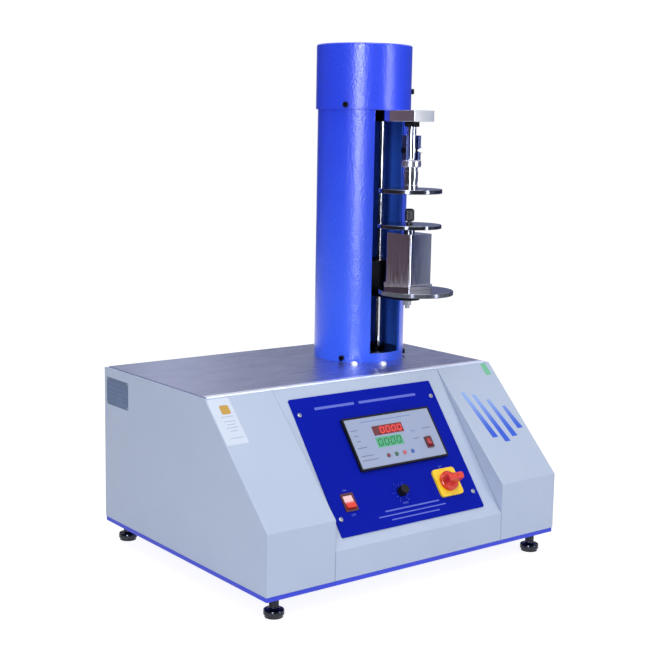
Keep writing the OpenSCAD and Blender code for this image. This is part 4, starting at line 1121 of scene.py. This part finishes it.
@dataclass
class Cabinet(Assembly):
    """Sheet cabinet with its base band, deck, rear cover, feet, plate and stickers.

    Attributes:
        width: Width of the cabinet.
        back_y: Outer face of the rear cover.
        plate_size: Blank plate on the left side.
        plate_spot: Its centre in Y and Z.
        rear_x: Side screws of the rear cover.
        rear_z: Heights of the cover's screws.
        panel_spot: Middle of the control plate's screws on the slope.
        panel_reach: Distance of these screws from there.
        deck_spots: Places of the dome screws on the deck.
        sole_top: Height of the feet's rubber soles.
    """

    width: float = 625.0
    back_y: float = 251.0
    plate_size: Point = (78.0, 49.0)
    plate_spot: Point = (208.5, 277.0)
    rear_x: float = 303.5
    rear_z: Point = (52.0, 308.0)
    panel_spot: Point = (-5.6, 142.0)
    panel_reach: Point = (144.4, 93.5)
    deck_spots: tuple[Point, ...] = ((76.4, 28.2), (121.3, 0.1))
    sole_top: float = 3.3
    WEAR = (
        (CABINET_PAINT, "cabinet_shell front_panel rear_cover"),
        (BASE_PAINT, "base_tray"),
        (DECK_STEEL, "deck_plate"),
        (ZINC_PLATE, "foot_lock_nuts support_frame mounting_plate"),
        (SPANGLE, "power_supply"),
        (BLACK_PLASTIC, "mains_inlet"),
    )

    def build(self) -> None:
        """Dresses the nodes and adds the pieces."""
        self.dress()
        for end in ("front", "rear"):
            for side in ("left", "right"):
                self.foot(f"foot_{end}_{side}")
        self.side_plate()
        self.deck_fold()
        self.deck_screws()
        self.stickers()
        self.bars()
        self.screws()

    def foot(self, body: str) -> None:
        """Replaces a foot by one with a rounded pad, a rubber sole and a threaded stud.

        Args:
            body: Name of the foot's node, which is also its body.
        """
        low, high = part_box(body)
        centre = ((low.x + high.x) / 2 / MM, (low.y + high.y) / 2 / MM)
        top = high.z / MM
        sole = [(0, 0), (14.5, 0), (14.5, 3.4)]
        pad = [(15.6, 3.6), (16.5, 4.8), (16.5, 10.6), (15.8, 12.2), (14.2, 13), (9.5, 13.2)]
        stud = [(8.2, 14.6), (7.3, 15.2), (7.3, top - 0.8), (6.5, top), (0, top)]
        shape = Shape().lathe(sole + pad + stud).placed(shift(*centre, 0))
        core = shape.piece(f"{body}_pad", DARK_CHROME, body, "chrome_steel", body)
        core.data.materials.append(RUBBER.material())
        for face in core.data.polygons:
            face.material_index = int(face.center.z < self.sole_top * MM)
        thread = Thread(f"{body}_thread", core=7.3, ridge=0.6, pitch=2.0, low=16.0, high=top - 2)
        mount(thread.build(centre, DARK_CHROME), body, "chrome_steel")

    def side_plate(self) -> None:
        """Adds the bare plate on the left side, with ruled lines and four flush rivets."""
        turn = Matrix.Rotation(-math.pi / 2, 4, "Z") @ Matrix.Rotation(math.pi / 2, 4, "X")
        place = shift(-self.width / 2, *self.plate_spot) @ turn
        w, h = self.plate_size
        plate = Shape().slab(rounded(w, h, 2.5), -0.6, 0.02).placed(place)
        plate.piece("side_plate", PLATE_METAL, "cabinet", "aluminium")
        rules, rivets = Shape(), Shape()
        for low in (-17, -9, -1, 7, 15):
            rules.slab(rectangle(7 - w / 2, w / 2 - 7, low, low + 0.7), -0.3, 0.04)
        rules.placed(place).piece("side_plate_rules", BLUE_INK, "cabinet", "aluminium")
        for sx, sy in CORNERS:
            head = Shape().lathe([(0, -0.5), (1.5, -0.5), (1.5, 0.04), (0, 0.05)], 24)
            rivets.join(head.placed(shift(sx * (w / 2 - 3.2), sy * (h / 2 - 3.2), 0)))
        rivets.placed(place).piece("side_plate_rivets", ALUMINIUM, "cabinet", "aluminium")

    def deck_fold(self) -> None:
        """Adds the pale fold along the deck's front edge, a painted highlight."""
        low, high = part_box("deck_plate")
        near, half = low.y / MM, high.x / MM - 1.0
        fold = Shape().slab(rectangle(-half, half, near - 0.2, near + 11), low.z / MM, high.z / MM + 0.12)
        fold.piece("deck_front_fold", PALE_EDGE_HIGHLIGHT, "cabinet", "stainless_sheet")

    def deck_screws(self) -> None:
        """Grows the dome screws in front of the column, in near-white metal that paints their glint."""
        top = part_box("deck_plate")[1].z / MM
        seats = [Seat((x, y, top), (0.0, 0.0, 0.0)) for x, y in self.deck_spots]
        head = {"radius": 6.4, "rim": 2.4, "dome": 3.2, "top": 3.4, "drive": 2.4, "deep": 1.0}
        heads = ScrewSet("deck_dome_screws", Recess.HEXAGON, **head)
        mount(heads.build(seats, GLINT_WHITE_METAL), "cabinet", "chrome_steel")

    def stickers(self) -> None:
        """Adds the blank stickers on the wings, one with an ochre patch and rules."""
        white = Shape().slab(rounded(41, 87, 3), 0.0, 0.15, 0.05).placed(WING.at(-289.5, 203.5))
        white.piece("left_wing_sticker", WHITE_VINYL, "cabinet", "cabinet_paint")
        ochre = Shape().slab(rounded(17, 17, 3), 0.1, 0.2).placed(WING.at(-285, 225))
        ochre.piece("left_wing_sticker_patch", OCHRE_INK, "cabinet", "cabinet_paint")
        rules = Shape()
        for rise, w in ((212, 24), (203, 22), (197, 17), (191, 22), (185, 14), (172, 24)):
            rules.join(Shape().slab(rounded(w, 1.4, 0.5, 2), 0.1, 0.2).placed(WING.at(-286, rise)))
        rules.piece("left_wing_sticker_rules", PALE_INK, "cabinet", "cabinet_paint")
        green = Shape().slab(rounded(13, 26, 2), 0.0, 0.15, 0.05).placed(WING.at(295, 234))
        green.piece("right_wing_sticker", GREEN_VINYL, "cabinet", "cabinet_paint")

    def bars(self) -> None:
        """Adds four slanted bars on the right wing, which fade from light to deep blue."""
        shape = Shape()
        for i, (low, high) in enumerate(((-40, 60), (-52, 52), (-44, 38), (-30, 20))):
            x, lean = i * 23 - 34, (high - low) * 0.16
            shape.slab([(x, low), (x + 13, low), (x + 9 - lean, high), (x + 1 - lean, high)], 0.0, 0.15)
        shape.placed(WING.at(254, 132)).piece("right_wing_bars", BAR_VINYL, "cabinet", "cabinet_paint")

    def screws(self) -> None:
        """Grows the cross-head screws of the control plate and the rear cover."""
        (x, rise), (dx, dy) = self.panel_spot, self.panel_reach
        seats = [Seat.on(BAY.at(x + sx * dx, rise + sy * dy, 2.0)) for sx, sy in CORNERS]
        for x in (-self.rear_x, 0.0, self.rear_x):
            seats += [Seat((x, self.back_y, z), (-math.pi / 2, 0.0, 0.0)) for z in self.rear_z]
        head = {"radius": 4.0, "rim": 1.1, "dome": 1.1, "top": 2.6, "drive": 1.6, "deep": 1.2}
        heads = ScrewSet("cover_screw_heads", Recess.CROSS, **head)
        mount(heads.build(seats, ZINC_PLATE), "cabinet", "chrome_steel", "cover_screws")


@dataclass
class Column(Assembly):
    """Slotted column with its cap, rods, screw and drive.

    Attributes:
        tube_r: Outer radius of the tube.
        cap_r: Outer radius of the cap.
        foot_z: Height of the foot ring's screws.
        cap_z: Height of two of the cap's screws.
        high_z: Height of its third screw.
        screw_y: Y of the lead screw.
    """

    tube_r: float = 84.15
    cap_r: float = 87.95
    foot_z: float = 326.0
    cap_z: float = 787.0
    high_z: float = 814.0
    screw_y: float = 115.0
    WEAR = (
        (COLUMN_PAINT, "column_tube"),
        (CAP_PAINT, "column_cap"),
        (BLACK_OXIDE, "column_foot_ring drive_motor"),
        (ZINC_PLATE, "bulkhead motor_bracket"),
        (CHROME, "guide_rods"),
        (ARM_STEEL, "screw_bearings"),
        (ALUMINIUM, "driven_pulley drive_pulley"),
        (RUBBER, "drive_belt"),
    )

    def build(self) -> None:
        """Dresses the nodes and adds the pieces."""
        self.dress()
        self.lead_screw()
        self.screws()

    def lead_screw(self) -> None:
        """Replaces the screw's rings by a true helix on a core with plain ends."""
        centre = (COLUMN_AXIS[0], self.screw_y)
        low, high = (corner.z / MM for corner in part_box("lead_screw"))
        profile = [(0, low), (8, low), (8, 328), (6, 329), (6, high - 1), (5.2, high), (0, high)]
        core = Shape().lathe(profile).placed(shift(*centre, 0))
        core.piece("lead_screw_core", ARM_STEEL, "lead_screw", "ground_steel", "lead_screw")
        ridge = Thread("lead_screw_thread", core=6.0, ridge=2.0, pitch=10.0, low=330.0, high=750.0)
        mount(ridge.build(centre, ARM_STEEL), "lead_screw", "ground_steel")

    def screws(self) -> None:
        """Grows the black socket screws of the foot ring and the cap."""
        rows = [(angle, self.foot_z, self.tube_r) for angle in (-60, 60, 180)]
        rows += [(-60, self.cap_z, self.cap_r), (54, self.high_z, self.cap_r), (180, self.cap_z, self.cap_r)]
        seats = []
        for angle, z, r in rows:
            a = math.radians(angle)
            spot = (COLUMN_AXIS[0] + r * math.sin(a), COLUMN_AXIS[1] - r * math.cos(a), z)
            seats.append(Seat(spot, (math.pi / 2, 0.0, a)))
        head = {"radius": 5.0, "rim": 4.2, "dome": 0.8, "top": 4.2, "drive": 5.0, "deep": 3.0}
        heads = ScrewSet("column_screw_heads", Recess.HEXAGON, **head)
        mount(heads.build(seats, BLACK_OXIDE), "cabinet", "black_steel", "column_screws")


@dataclass
class Head(Assembly):
    """Compression head: carriage, platens, block, arm and coupling.

    Attributes:
        plunger_x: Distance of the plunger to the right of the load axis.
        prong_front: Distance of the prongs' front from the load axis.
        ball_r: Radius of its ball.
        ball_out: Distance of the ball's centre from the prong.
    """

    plunger_x: float = 11.5
    prong_front: float = 6.0
    ball_r: float = 4.6
    ball_out: float = 6.0
    WEAR = (
        (BLACK_OXIDE, "carriage lock_nut yoke_pin"),
        (BRONZE, "guide_bushes lead_nut"),
        (PLATEN_STEEL, "lower_platen pressure_disc upper_platen"),
        (ZINC_PLATE, "platen_bolt"),
        (BLOCK_STEEL, "steel_block"),
        (BLACK_GLOSS, "clamp_knob"),
        (LAPPED_STEEL, "top_arm"),
        (YOKE_STEEL, "load_yoke"),
        (CHROME, "load_rod load_cell"),
    )

    def build(self) -> None:
        """Dresses the nodes and adds the plunger that locks the cross pin."""
        self.dress()
        low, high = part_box("yoke_pin")
        stem = [(0, -1), (2.2, -1), (2.2, 1.6), (1.7, 2.4)]
        arc = [math.pi * k / 12 for k in range(2, 12)]
        ball = [(self.ball_r * math.sin(a), self.ball_out - self.ball_r * math.cos(a)) for a in arc]
        profile = [*stem, *ball, (0, self.ball_out + self.ball_r)]
        spot = (LOAD_AXIS[0] + self.plunger_x, LOAD_AXIS[1] - self.prong_front, (low.z + high.z) / 2 / MM)
        shape = Shape().lathe(profile, 32).placed(shift(*spot) @ Matrix.Rotation(math.pi / 2, 4, "X"))
        # Near-white metal on the ball: a painted glint
        shape.piece("yoke_plunger_ball", GLINT_WHITE_METAL, "upper_head", "ground_steel")


@dataclass
class ControlPanel(Assembly):
    """Control plate with meter, switches, isolator, knob and generic marks.

    Attributes:
        red: Centre and size of the red window.
        green: Centre and size of the green window.
        lit: Size of the red window's lit part, and its distance from the centre.
        face_out: Front of the meter's face, out of the panel.
        plate_out: Front of the control plate, out of the panel.
        power: Centre of the power switch.
        dial: Centre of the speed knob.
        isolator: Centre of the isolator.
        slant: Lean of the digits per mm of height.
        upright: Turn of a digit's upright segments in degrees.
    """

    red: tuple[float, ...] = (11.0, 185.3, 66.0, 17.5)
    green: tuple[float, ...] = (5.0, 163.6, 57.0, 18.7)
    lit: Place = (50.5, 15.6, 6.6)
    face_out: float = 7.5
    plate_out: float = 2.03
    power: Point = (-122.0, 73.5)
    dial: Point = (-11.3, 73.5)
    isolator: Point = (91.0, 73.5)
    slant: float = 0.12
    upright: float = 83.0
    WEAR = (
        (PLATE_INK, "control_plate"),
        (BLACK_PLASTIC, "meter_case speed_knob"),
        (BEZEL_PLASTIC, "power_switch_body tare_switch_body"),
        (FACE_FILM, "meter_face"),
        *((finish, f"key_{i + 1}") for i, finish in enumerate(KEY_FINISHES)),
        (TARE_RED, "tare_rocker"),
        (LIT_RED, "power_rocker"),
        (GREY_PLASTIC, "speed_control isolator_body"),
        (YELLOW_PLASTIC, "isolator_plate"),
        (RED_PLASTIC, "isolator_handle"),
    )

    def build(self) -> None:
        """Dresses the nodes and adds the pieces."""
        self.dress()
        self.windows()
        self.digits("red_digits", self.red, " 0000", (12.6, 12.4), RED_LIGHT)
        self.digits("green_digits", self.green, "0000", (13.4, 13.6), GREEN_DARK)
        self.marks()
        self.meter_rules()
        self.dial_scale()

    def windows(self) -> None:
        """Replaces the display block by two coloured windows, the red one partly lit."""
        back, front = self.face_out - 1.2, self.face_out - 0.05
        for name, (x, rise, w, h), finish, nodes in (
            ("red_window", self.red, WINDOW_RED, ("meter_displays",)),
            ("green_window", self.green, WINDOW_GREEN, ()),
        ):
            pane = Shape().slab(rounded(w - 0.2, h - 0.2, 0.8), back, front, 0.2)
            pane.placed(BAY.at(x, rise)).piece(name, finish, "cabinet", "display_glass", *nodes)
        w, h, right = self.lit
        lit = Shape().slab(rounded(w, h, 1.0), front - 0.1, front + 0.04)
        lit.placed(BAY.at(self.red[0] + right, self.red[1]))
        lit.piece("red_window_lit", GLOW_RED, "cabinet", "display_glass")

    def digits(
        self, name: str, window: tuple[float, ...], text: str, size: Point, finish: Finish
    ) -> None:
        """Grows seven-segment digits in a window.

        Args:
            name: Name of the piece.
            window: X, rise, width and height of the window.
            text: Noughts, with a space for a blank digit.
            size: Distance between digits, and height of a digit.
            finish: Colour of the segments.
        """
        pitch, height = size
        half, wide = height / 2 - 1, pitch * 0.3
        level = [(0, half, 0), (0, -half, 0)]
        nought = level + [(sx * wide, sy * half / 2, self.upright) for sx, sy in CORNERS]
        seats = []
        for i, sign in enumerate(text):
            for dx, dy, turn in nought if sign == "0" else ():
                x = window[0] + (i - (len(text) - 1) / 2) * pitch + dx + dy * self.slant
                seats.append(Seat.on(BAY.at(x, window[1] + dy, self.face_out), math.radians(turn)))
        bars = copied_bars(name, (half * 0.86, 1.9, 0.16), seats, finish)
        mount(bars, "cabinet", "display_glass")

    def marks(self) -> None:
        """Adds ON and OFF beside the switches, SPEED under the knob, and plain printed rules."""
        out = self.plate_out
        texts = (
            ("ON", 3.6, self.power, (0, 21)),
            ("OFF", 3.6, self.power, (0, -22)),
            ("OFF", 3.4, self.isolator, (0, 30)),
            ("ON", 3.4, self.isolator, (31, 0)),
            ("SPEED", 3.2, self.dial, (0, -20)),
        )
        plate = Shape()
        for text, height, (x, rise), (dx, dy) in texts:
            plate.join(lettering(text, height, BAY.at(x + dx, rise + dy, out)))
        rows = (
            (-74, 243, 84, 4.6), (42, 243, 128, 4.6),
            (0, 46, 118, 2.4), (-3, 38, 146, 2.0), (0, 30, 104, 2.0),
        )  # fmt: skip
        for x, rise, w, h in rows:
            plate.join(Shape().slab(rounded(w, h, h / 3, 2), out - 0.05, out + 0.03).placed(BAY.at(x, rise)))
        plate.piece("plate_marks", DIM_INK, "cabinet", "plate_print")

    def meter_rules(self) -> None:
        """Adds the plain rules on the meter's face, in two inks."""
        grey, blue = Shape(), Shape()
        rows = (
            (grey, -60, 191, 16), (grey, -60, 181, 9), (grey, -59, 171, 9), (grey, -57, 159, 20),
            (grey, -53, 144, 26), (grey, -50, 136, 34), (grey, 93, 176, 20), (grey, 62, 160, 12),
            (blue, 14, 204, 112), (blue, 62, 174, 10),
        )  # fmt: skip
        for shape, x, rise, w in rows:
            line = rectangle(-w / 2, w / 2, -0.6, 0.6)
            shape.join(Shape().slab(line, -0.02, 0.05).placed(BAY.at(x, rise, self.face_out)))
        grey.piece("meter_rules_grey", GREY_INK, "cabinet", "face_sheet")
        blue.piece("meter_rules_blue", BLUE_INK, "cabinet", "face_sheet")

    def dial_scale(self) -> None:
        """Grows the ticks round the speed knob and adds their numbers."""
        seats = []
        numbers = Shape()
        for i in range(11):
            a = math.radians(240 - 30 * i)
            tick, number = (
                BAY.at(self.dial[0] + r * math.cos(a), self.dial[1] + r * math.sin(a), self.plate_out)
                for r in (13, 17.5)
            )
            seats.append(Seat.on(tick, a))
            if i % 2 == 0:
                numbers.join(lettering(str(i), 2.4, number))
        mount(copied_bars("dial_ticks", (2.4, 0.6, 0.06), seats, DIM_INK), "cabinet", "plate_print")
        numbers.piece("dial_numbers", DIM_INK, "cabinet", "plate_print")


# Studio


@dataclass(frozen=True)
class Lamp:
    """A soft box: a lit rectangle that faces a target.

    Attributes:
        name: Name of the lamp.
        spot: Its place in metres.
        target: Point that it faces.
        size: Width and height in metres.
        power: Power in watts.
        tone: Colour of its light.
        gloss_only: Whether it only makes highlights and lights nothing.
    """

    name: str
    spot: Place
    target: Place
    size: Point
    power: float
    tone: str = "#ffffff"
    gloss_only: bool = False

    def build(self) -> None:
        """Adds the lamp."""
        data = bpy.data.lights.new(self.name, "AREA")
        data.shape = "RECTANGLE"
        data.size, data.size_y = self.size
        data.energy = self.power
        data.color = linear(self.tone)[:3]
        thing = bpy.data.objects.new(self.name, data)
        thing.location = self.spot
        thing.visible_camera = False
        thing.visible_diffuse = not self.gloss_only
        thing.rotation_mode = "QUATERNION"
        thing.rotation_quaternion = (Vector(self.target) - Vector(self.spot)).to_track_quat("-Z", "Y")
        bpy.context.scene.collection.objects.link(thing)


@dataclass
class Studio:
    """White floor, soft boxes, a cloth round the set that only reflections see, and the camera.

    Attributes:
        eye: Place of the camera in metres.
        yaw: Turn to the right of +Y in degrees.
        pitch: Tilt below the horizon in degrees.
        roll: Turn about the view axis in degrees.
        focal: Focal length in pixels of a frame that is 650 wide.
        frame: Width of that frame.
        ambient: Strength of the plain soft light.
        cloth_r: Radius of the cloth in metres.
        cloth_z: Lowest and highest point of the cloth.
        cloth_steps: Straight parts of the cloth.
        tones: Angle round the set from +X in degrees, and the cloth's tone there.
        card: The same for the white card in front of the cloth.
        card_low: Heights in metres between which the card starts.
        card_high: Heights between which it ends.
    """

    eye: Place = (-1.3866, -1.7878, 0.7482)
    yaw: float = 37.505
    pitch: float = 8.714
    roll: float = 0.984
    focal: float = 1297.226
    frame: float = 650.0
    ambient: float = 0.42
    cloth_r: float = 3.4
    cloth_z: Point = (0.02, 1.75)
    cloth_steps: int = 72
    tones: tuple[tuple[float, str], ...] = (
        (-180, "#3c3a46"), (-128, "#4c4e58"), (-80, "#50525e"), (-56, "#34344e"), (-50, "#1b2654"),
        (-47.0, "#1b2654"), (-46.5, "#a0aabf"), (-40, "#8a90a6"), (-24, "#50567c"), (10, "#484e80"),
        (34, "#646a8e"), (43, "#7880a4"), (55, "#7a829e"), (59, "#878ea6"), (63, "#bcc6dc"),
        (66, "#c0cae0"), (69, "#8a90a8"), (73, "#50506a"), (84, "#3c3a4c"), (106, "#34323e"),
        (124, "#74606a"), (130, "#665862"), (150, "#4a404a"), (180, "#3c3a46"),
    )  # fmt: skip
    card: tuple[tuple[float, str], ...] = (
        (-180, "#000000"), (-72, "#000000"), (-56, "#c8d2ea"), (-50, "#ffffff"), (-47.5, "#ffffff"),
        (-46.9, "#9aa4ba"), (-44, "#8a94ae"), (-34, "#7b829c"), (-20, "#000000"),
    )  # fmt: skip
    card_low: Point = (0.55, 0.68)
    card_high: Point = (1.1, 1.4)

    def build(self) -> None:
        """Builds all of the studio."""
        self.world()
        self.floor()
        self.surround()
        for lamp in (
            Lamp("soft_box_left", (-2.0, -1.75, 1.1), (0.0, 0.0, 0.5), (0.42, 2.1), 22, "#f2f5ff"),
            Lamp("strip_left", (-2.0, -1.76, 1.32), (0.0, 0.0, 0.8), (0.6, 1.7), 68, "#e2ebff", True),
            Lamp("soft_box_right", (1.2, -2.4, 1.05), (0.1, 0.0, 0.5), (0.36, 1.9), 12),
            Lamp("strip_right", (1.2, -2.41, 1.05), (0.1, 0.0, 0.5), (0.36, 1.9), 26, "#e2ebff", True),
            Lamp("soft_box_top", (-0.2, -0.6, 2.9), (0.0, 0.0, 0.3), (2.4, 2.0), 34),
        ):
            lamp.build()
        self.camera()
        bpy.context.scene.view_settings.view_transform = "Standard"

    def seen(self, tree: Tree) -> Socket:
        """Tells the rays that see the white set from those that only light the object.

        Args:
            tree: Tree of the world or of the floor.

        Returns:
            1 for camera, glossy and transmission rays, 0 for the rest.
        """
        path = add_node(tree, "ShaderNodeLightPath").outputs
        pair = {"operation": "MAXIMUM", 0: path["Is Camera Ray"], 1: path["Is Glossy Ray"]}
        both = add_node(tree, "ShaderNodeMath", pair).outputs[0]
        pair = {"operation": "MAXIMUM", 0: both, 1: path["Is Transmission Ray"]}
        return add_node(tree, "ShaderNodeMath", pair).outputs[0]

    def world(self) -> None:
        """Makes a white world for camera and reflections, and a plain soft light for the rest."""
        world = bpy.data.worlds.new("studio")
        bpy.context.scene.world = world
        world.use_nodes = True
        tree = world.node_tree
        tree.nodes.clear()
        span = {"Value": self.seen(tree), "To Min": self.ambient, "To Max": 1.0}
        level = add_node(tree, "ShaderNodeMapRange", span).outputs[0]
        back = add_node(tree, "ShaderNodeBackground", {"Color": (1, 1, 1, 1), "Strength": level})
        add_node(tree, "ShaderNodeOutputWorld", {"Surface": back.outputs[0]})

    def sheet(self, name: str, shape: Shape, coat: str) -> tuple[Thing, Tree]:
        """Makes a piece of the set, which isn't part of the object.

        Args:
            name: Name of the piece.
            shape: Its faces, in metres.
            coat: Name of its material.

        Returns:
            The piece and its material's empty tree.
        """
        mesh = bpy.data.meshes.new(name)
        mesh.from_pydata(shape.verts, [], shape.faces)
        made = bpy.data.materials.new(coat)
        made.use_nodes = True
        made.node_tree.nodes.clear()
        mesh.materials.append(made)
        thing = bpy.data.objects.new(name, mesh)
        bpy.context.scene.collection.objects.link(thing)
        return thing, made.node_tree

    def floor(self) -> None:
        """Lays a pale floor. It is white where it is seen, and keeps a soft shadow."""
        corners = [Vector((x, y, 0)) for x, y in rectangle(-9, 9, -9, 9)]
        tree = self.sheet("studio_floor", Shape(corners, [(0, 1, 2, 3)]), "white_paper_floor")[1]
        paper = add_node(tree, "ShaderNodeBsdfDiffuse", {"Color": linear("#eceef2")}).outputs[0]
        shadow = add_node(tree, "ShaderNodeBsdfDiffuse", {"Color": linear("#959595")}).outputs[0]
        glow = add_node(tree, "ShaderNodeEmission", {"Color": (1, 1, 1, 1), "Strength": 0.9}).outputs[0]
        white = add_node(tree, "ShaderNodeAddShader", {0: shadow, 1: glow}).outputs[0]
        mix = add_node(tree, "ShaderNodeMixShader", {0: self.seen(tree), 1: paper, 2: white}).outputs[0]
        add_node(tree, "ShaderNodeOutputMaterial", {"Surface": mix})

    def surround(self) -> None:
        """Hangs cloth round the set, as is done to shape the gloss of bright metal."""
        ring, n = Shape(), 2 * self.cloth_steps
        for i in range(self.cloth_steps):
            a = math.tau * i / self.cloth_steps
            x, y = self.cloth_r * math.cos(a), self.cloth_r * math.sin(a)
            ring.verts += [Vector((x, y, z)) for z in self.cloth_z]
            ring.faces.append((2 * i, 2 * i + 1, (2 * i + 3) % n, (2 * i + 2) % n))
        thing, tree = self.sheet("studio_cloth", ring, "studio_cloth")
        place = add_node(tree, "ShaderNodeTexCoord").outputs["Object"]
        split = add_node(tree, "ShaderNodeSeparateXYZ", {0: place}).outputs
        turn = {"operation": "ARCTAN2", 0: split["Y"], 1: split["X"]}
        angle = add_node(tree, "ShaderNodeMath", turn).outputs[0]
        span = {"Value": angle, "From Min": -math.pi, "From Max": math.pi}
        share = add_node(tree, "ShaderNodeMapRange", span).outputs[0]
        low, high = self.ramp(tree, share, self.tones), self.ramp(tree, share, self.card)
        rise = {"From Min": self.card_low[0], "From Max": self.card_low[1], "Value": split["Z"]}
        smooth = {"interpolation_type": "SMOOTHSTEP", **rise}
        above = add_node(tree, "ShaderNodeMapRange", smooth).outputs[0]
        fall = {"From Min": self.card_high[0], "From Max": self.card_high[1], "Value": split["Z"]}
        below = add_node(tree, "ShaderNodeMapRange", {**fall, "To Min": 1.0, "To Max": 0.0}).outputs[0]
        pair = {"operation": "MULTIPLY", 0: above, 1: below}
        band = add_node(tree, "ShaderNodeMath", pair).outputs[0]
        lighter = {"data_type": "RGBA", "blend_type": "LIGHTEN", 0: band, 6: low, 7: high}
        tone = add_node(tree, "ShaderNodeMix", lighter).outputs[2]
        glow = add_node(tree, "ShaderNodeEmission", {"Color": tone, "Strength": 1.0}).outputs[0]
        add_node(tree, "ShaderNodeOutputMaterial", {"Surface": glow})
        thing.visible_camera = False
        thing.visible_diffuse = False
        thing.visible_shadow = False
        thing.visible_transmission = False

    def ramp(self, tree: Tree, share: Socket, tones: tuple[tuple[float, str], ...]) -> Socket:
        """Blends tones round the set.

        Args:
            tree: The cloth's tree.
            share: Share of a full turn from -X.
            tones: Angles from +X in degrees, and the tone at each.

        Returns:
            The tone.
        """
        node = add_node(tree, "ShaderNodeValToRGB", {0: share})
        stops = node.color_ramp.elements
        while len(stops) < len(tones):
            stops.new(1.0)
        for stop, (angle, tone) in zip(stops, tones):
            stop.position = (angle + 180) / 360
            stop.color = linear(tone)
        return node.outputs[0]

    def camera(self) -> None:
        """Adds the camera at the photo's place and angle."""
        yaw, pitch, roll = (math.radians(v) for v in (self.yaw, self.pitch, self.roll))
        level = math.cos(pitch)
        ahead = Vector((math.sin(yaw) * level, math.cos(yaw) * level, -math.sin(pitch)))
        right = Vector((math.cos(yaw), -math.sin(yaw), 0))
        up = right.cross(ahead)
        x = math.cos(roll) * right + math.sin(roll) * up
        y = -math.sin(roll) * right + math.cos(roll) * up
        data = bpy.data.cameras.new("photo_camera")
        data.sensor_width = 36.0
        data.lens = self.focal / self.frame * data.sensor_width
        data.clip_end = 60
        thing = bpy.data.objects.new("photo_camera", data)
        turn = Matrix((x, y, -ahead)).transposed()
        thing.matrix_world = Matrix.Translation(self.eye) @ turn.to_4x4()
        bpy.context.scene.collection.objects.link(thing)
        bpy.context.scene.camera = thing


def main() -> None:
    """Builds the sub-assemblies in order."""
    logging.basicConfig(level=logging.INFO, format="%(name)s: %(message)s")
    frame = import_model()
    Studio().build()
    for part in (Cabinet, Column, Head, ControlPanel):
        part(frame["nodes"]).build()


if __name__ == "__main__":
    main()
